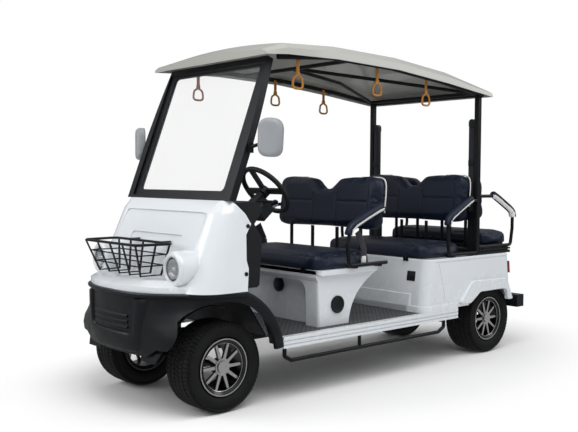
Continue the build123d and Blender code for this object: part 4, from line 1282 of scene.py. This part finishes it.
def lamp_lathe(name, profile, centre, finish):
    return lathe(name, [(along, share * LAMP_R) for along, share in profile], centre, (1, 0, 0), 40, finish)


class BUGGY_OT_lamps(bpy.types.Operator):
    """Make the headlamp bowls and lenses"""

    bl_idname = "buggy.lamps"
    bl_label = "Make the headlamps"

    def execute(self, context):
        bowls, lenses = [], []
        for side, s in SIDES.items():
            centre = Vector((LAMP[0] - 0.025, s * LAMP[1], LAMP[2]))
            bowl = lamp_lathe(f"bowl_{side}", BOWL, centre, "reflector")

            def facet(spot, normal):
                return normal.x > 0.3 and 0.58 < (spot - centre).yz.length / LAMP_R < 0.88

            with shaping(bowl):
                pick_faces(bowl, facet)
                bpy.ops.mesh.inset(thickness=0.0012, depth=-0.0008, use_individual=True)
            smooth(bowl, 30.0)
            stem = drum(f"bulb_{side}", centre, centre + Vector((0.014, 0, 0)), 0.011, 20, "chrome")
            with shaping(stem):
                pick_faces(stem, lambda spot, normal: normal.x > 0.9)
                bpy.ops.mesh.inset(thickness=0.003, depth=0.003)
            bowls += [bowl, soften(stem, 0.0012)]
            lenses.append(smooth(lamp_lathe(f"lens_{side}", DOME, centre + Vector((0.004, 0, 0)), "lamp")))
        bowl = gather(bowls, "headlamp_bowls")
        lens = gather(lenses, "headlamp_lenses")
        worn_by(bowl, "headlamps", slot="lamp_glass")
        hung(lens, "chassis")
        return {"FINISHED"}


# Straps, plates and small round fittings
def band(name, start, end, across, width, thick, finish):
    """A flat bar from start to end, its width along across, with softened edges."""
    deselect()
    run = Vector(end) - Vector(start)
    along = run.normalized()
    wide = (Vector(across) - along * along.dot(Vector(across))).normalized()
    bpy.ops.mesh.primitive_cube_add(size=1.0)
    piece = named(name, finish)
    turn = Matrix((wide, wide.cross(along), along)).transposed().to_4x4()
    middle = Matrix.Translation((Vector(start) + Vector(end)) / 2)
    piece.matrix_world = middle @ turn @ Matrix.Diagonal((width, thick, run.length, 1.0))
    bpy.ops.object.transform_apply(location=True, rotation=True, scale=True)
    return soften(piece, min(thick, width) * 0.3)


def disc(name, centre, axis, radius, height, finish, dish=0.0):
    """A round plate that stands on a face, with a stepped top."""
    axis = Vector(axis).normalized()
    piece = drum(name, centre, Vector(centre) + axis * height, radius, 36, finish)
    with shaping(piece):
        pick_faces(piece, lambda spot, normal: normal.dot(axis) > 0.9)
        bpy.ops.mesh.inset(thickness=radius * 0.22, depth=0.0)
        bpy.ops.mesh.inset(thickness=radius * 0.08, depth=dish)
    return soften(piece, min(height * 0.3, radius * 0.12))


ARM_RUNS = {
    "front": ((0.249, 0.850), (0.240, 0.884), (0.205, 0.910), (0.110, 0.952), (0.010, 0.993), (-0.030, 1.004)),
    "middle": ((-0.652, 0.872), (-0.655, 0.903), (-0.684, 0.930), (-0.770, 0.976), (-0.860, 1.024), (-0.900, 1.040)),
    "rear": ((-1.375, 0.908), (-1.373, 0.938), (-1.344, 0.964), (-1.262, 1.006), (-1.172, 1.052), (-1.132, 1.068)),
}
PAD_R = 0.0255
PAD_LIFT = 0.006


def above_arm(x, z):
    """How far a point stands above the middle of the nearest arm pad."""
    run = min(ARM_RUNS.values(), key=lambda spots: abs(x - (spots[0][0] + spots[-1][0]) / 2))
    (ax, az), (bx, bz) = min(zip(run, run[1:]), key=lambda part: segment_distance((x, z), part))
    rise = ((bx - ax) * (z - PAD_LIFT - az) - (bz - az) * (x - ax)) / math.hypot(bx - ax, bz - az)
    return rise if bx > ax else -rise


class BUGGY_OT_arm_pads(bpy.types.Operator):
    """Fill the curved arm pads, navy above and white below"""

    bl_idname = "buggy.arm_pads"
    bl_label = "Fill the arm pads"

    def execute(self, context):
        covers = []
        for row, run in ARM_RUNS.items():
            for side, s in SIDES.items():
                cover = tube_along(f"pad_{row}_{side}", [(x, s * ARM_Y, z + PAD_LIFT) for x, z in run], PAD_R, "vinyl")
                covers.append(fill(cover, 4, lambda co: False, 2.0, 0.0052))
        piece = gather(covers, "arm_rest_pads")
        piece.data.materials.append(finish_named("piping"))
        for face in piece.data.polygons:
            face.material_index = 1 if above_arm(face.center.x, face.center.z) < -0.003 else 0
        worn_by(piece, "arm_pads", slot="seat_vinyl")
        return {"FINISHED"}


class BUGGY_OT_piping(bpy.types.Operator):
    """Lay white piping along the back edge of every seat back"""

    bl_idname = "buggy.piping"
    bl_label = "Lay the piping"

    def execute(self, context):
        behind = 0.071
        cords = []
        for row, seat in BACK_LINES.items():
            lean = math.radians(seat["lean"])
            height = seat["high"] - seat["low"]
            line = [(0.4460, 0.105), (0.4475, height * 0.52), (0.4470, height - 0.075), (0.440, height - 0.030),
                    (0.419, height - 0.006), (0.370, height - 0.0015), (0.240, height - 0.0015)]
            for side, s in SIDES.items():
                spots = []
                for across, up in line:
                    ahead = -behind * math.cos(lean) - up * math.sin(lean)
                    rise = up * math.cos(lean) - behind * math.sin(lean)
                    spots.append((seat["x"] + seat["way"] * ahead, s * across, seat["low"] + rise))
                cords.append(tube_along(f"piping_{row}_{side}", spots, sizes().piping, "piping"))
        hung(gather(cords, "seat_piping"), "chassis")
        return {"FINISHED"}


class BUGGY_OT_belts(bpy.types.Operator):
    """Hang the lap belts with their buckles and lay the belts on the columns"""

    bl_idname = "buggy.belts"
    bl_label = "Hang the belts"

    def execute(self, context):
        width = sizes().webbing
        thick = 0.0024
        straps, buckles = [], []
        for side, s in SIDES.items():
            top, low = Vector((0.150, s * 0.448, 0.872)), Vector((0.098, s * 0.449, 0.772))
            foot = Vector((0.094, s * 0.4445, 0.716))
            straps.append(band(f"lap_upper_{side}", top, low, (1, 0, 0.5), width, thick, "webbing"))
            straps.append(band(f"lap_lower_{side}", low + Vector((0, 0, 0.004)), foot, (1, 0, 0.1), width, thick,
                               "webbing"))
            buckles.append(band(f"buckle_{side}", foot + Vector((0, 0, 0.012)), foot - Vector((0.002, 0, 0.030)),
                                (1, 0, 0), 0.034, 0.013, "piping"))
            x, y = -0.9548, s * 0.4257
            straps.append(band(f"shoulder_{side}", (x, y, 1.512), (x, y, 0.960), (0, 1, 0), 0.036, thick, "webbing"))
            x += 0.004
            buckles.append(band(f"tongue_{side}", (x, y, 1.300), (x, y, 1.262), (0, 1, 0), 0.042, 0.006, "trim"))
        hung(gather(straps, "belt_webbing"), "chassis")
        hung(gather(buckles, "belt_buckles"), "chassis")
        return {"FINISHED"}


class BUGGY_OT_fittings(bpy.types.Operator):
    """Fit the vents, socket, bolts and knob"""

    bl_idname = "buggy.fittings"
    bl_label = "Fit the small parts"

    def execute(self, context):
        dark = []
        for side, s in SIDES.items():
            dark.append(disc(f"side_vent_{side}", (0.275, s * BASE_SIDE_Y, 0.461), (0, s, 0), 0.050, 0.011, "plastic",
                             -0.004))
            for x, y, z in ((1.000, 0.5072, 0.935), (1.032, 0.5352, 0.700)):
                dark.append(disc(f"cowl_bolt_{side}_{z}", (x, s * y, z), (0, s, 0.12), 0.0105, 0.005, "plastic"))
        dark.append(disc("front_knob", (0.366, 0.02, 0.545), (1, 0, 0), 0.043, 0.016, "plastic", 0.006))
        riser = Vector((-0.4295, 0.364, 0.565))
        slope = Vector((-0.041, 0, 0.300)).normalized()
        plate = band("socket_plate", riser - slope * 0.031, riser + slope * 0.031, (0, 1, 0), 0.064, 0.010, "plastic")
        with shaping(plate):
            pick_faces(plate, lambda spot, normal: normal.x > 0.9)
            bpy.ops.mesh.inset(thickness=0.008, depth=-0.002)
        dark.append(plate)
        hung(gather(dark, "vents_and_bolts"), "chassis")
        return {"FINISHED"}


# Floor, light and camera
def blended(tree, mask, first, second):
    node = tree.nodes.new("ShaderNodeMixShader")
    for slot, value in zip(node.inputs, (mask, first, second)):
        connect(tree, slot, value)
    return Wire(tree, node.outputs[0])


def rays(tree, *kinds):
    path = tree.nodes.new("ShaderNodeLightPath")
    return [Wire(tree, path.outputs[f"Is {kind} Ray"]) for kind in kinds]


def lay_floor():
    """A pale floor that keeps the shadow, white to the camera further out and dim in reflections."""
    deselect()
    bpy.ops.mesh.primitive_grid_add(x_subdivisions=8, y_subdivisions=8, size=60.0, location=(0, 0, -0.0005))
    floor = bpy.context.active_object
    floor.name = "studio_floor"
    bpy.ops.object.transform_apply(location=True, rotation=True, scale=True)
    pale = Finish("studio_floor", {"Roughness": 0.9, "Specular IOR Level": 0.0})
    tree = pale.tree
    x, y, z = pale.axes(pale.place())
    pale.feed("Base Color", pale.mix(pale.noise(0.6, 2.0), (0.955, 0.955, 0.955), (0.945, 0.945, 0.945)))
    far = pale.between(((x * x) * 0.33 + (y * y) * 1.10).root(), 0.95, 1.50)
    seen, glossy = rays(tree, "Camera", "Glossy")
    white, dim = (pale.add("ShaderNodeEmission", {}, {"Color": (1.0, 1.0, 1.0, 1.0), "Strength": strength})
                  for strength in (1.0, 0.30))
    shown = blended(tree, far * seen, Wire(tree, pale.shader.outputs[0]), white)
    connect(tree, tree.nodes["Material Output"].inputs[0], blended(tree, glossy, shown, dim))
    floor.data.materials.append(pale.material)


def light_world(scene, strength):
    """White to the camera and through glass, even light elsewhere, and brighter overhead in reflections."""
    scene.world = bpy.data.worlds.new("studio")
    scene.world.use_nodes = True
    sky = scene.world.node_tree
    seen, glossy, passed = rays(sky, "Camera", "Glossy", "Transmission")
    shown = seen.math("MAXIMUM", seen, passed)
    way = sky.nodes.new("ShaderNodeTexCoord")
    parts = sky.nodes.new("ShaderNodeSeparateXYZ")
    sky.links.new(way.outputs["Generated"], parts.inputs[0])
    height = Wire(sky, parts.outputs[2])
    mirrored = 0.18 + 0.82 * height.math("MAXIMUM", height, 0.0) ** 1.6
    back = sky.nodes["Background"]
    back.inputs["Color"].default_value = (1.0, 1.0, 1.0, 1.0)
    connect(sky, back.inputs["Strength"], shown + (1 - shown) * (glossy * mirrored + (1 - glossy) * strength))


def put(scene, name, data, place, turn):
    holder = bpy.data.objects.new(name, data)
    scene.collection.objects.link(holder)
    holder.location = place
    holder.rotation_euler = turn
    return holder


class BUGGY_OT_stage(bpy.types.Operator):
    """Lay the floor, hang the lamps and set the camera"""

    bl_idname = "buggy.stage"
    bl_label = "Set the stage"

    def execute(self, context):
        scene = context.scene
        stage = scene.buggy_stage
        lay_floor()
        light_world(scene, stage.sky)
        for name, place, aim, power, width in (
            ("key_lamp", (1.6, 2.2, 4.6), (0.0, 0.0, 0.6), stage.key, 3.6),
            ("side_lamp", (4.2, -1.6, 2.6), (0.6, 0.0, 0.8), stage.side, 2.2),
            ("back_lamp", (-3.6, 2.6, 3.4), (-0.4, 0.0, 0.8), stage.side * 0.8, 2.6),
        ):
            lamp = bpy.data.lights.new(name, "AREA")
            lamp.energy = power
            lamp.size = width
            put(scene, name, lamp, place, (Vector(aim) - Vector(place)).to_track_quat("-Z", "Y").to_euler())

        camera = bpy.data.cameras.new("camera")
        camera.lens = stage.lens
        camera.sensor_width = 36.0
        heading, pitch, roll = stage.turn
        level = math.cos(pitch)
        look = Vector((math.cos(heading) * level, math.sin(heading) * level, math.sin(pitch)))
        turned = look.to_track_quat("-Z", "Y").to_matrix() @ Matrix.Rotation(roll, 3, "Z")
        scene.camera = put(scene, "camera", camera, stage.eye, turned.to_euler())
        scene.view_settings.view_transform = "Standard"
        return {"FINISHED"}


class BUGGY_PT_panel(bpy.types.Panel):
    """Lists the steps that dress the buggy"""

    bl_idname = "BUGGY_PT_panel"
    bl_label = "Shuttle Buggy"
    bl_space_type = "VIEW_3D"
    bl_region_type = "UI"
    bl_category = "Buggy"

    def draw(self, context):
        for operator in OPERATORS:
            self.layout.operator(operator.bl_idname)


OPERATORS = (BUGGY_OT_finishes, BUGGY_OT_bumper, BUGGY_OT_cowl, BUGGY_OT_screen, BUGGY_OT_rear_shell,
             BUGGY_OT_seat_base, BUGGY_OT_mirrors, BUGGY_OT_handles, BUGGY_OT_cushions, BUGGY_OT_backs,
             BUGGY_OT_arm_pads, BUGGY_OT_piping, BUGGY_OT_belts, BUGGY_OT_tyres, BUGGY_OT_lamps, BUGGY_OT_fittings,
             BUGGY_OT_stage)
GROUPS = {"buggy_finishes": BuggyFinishes, "buggy_sizes": BuggySizes, "buggy_stage": BuggyStage}


def register():
    for group in GROUPS.values():
        bpy.utils.register_class(group)
    for name, group in GROUPS.items():
        setattr(bpy.types.Scene, name, bpy.props.PointerProperty(type=group))
    for part in (*OPERATORS, BUGGY_PT_panel):
        bpy.utils.register_class(part)


def unregister():
    for part in reversed((*OPERATORS, BUGGY_PT_panel)):
        bpy.utils.unregister_class(part)
    for name, group in GROUPS.items():
        delattr(bpy.types.Scene, name)
        bpy.utils.unregister_class(group)


def main():
    register()
    for operator in OPERATORS:
        family, step = operator.bl_idname.split(".")
        getattr(getattr(bpy.ops, family), step)()


if __name__ == "__main__":
    main()
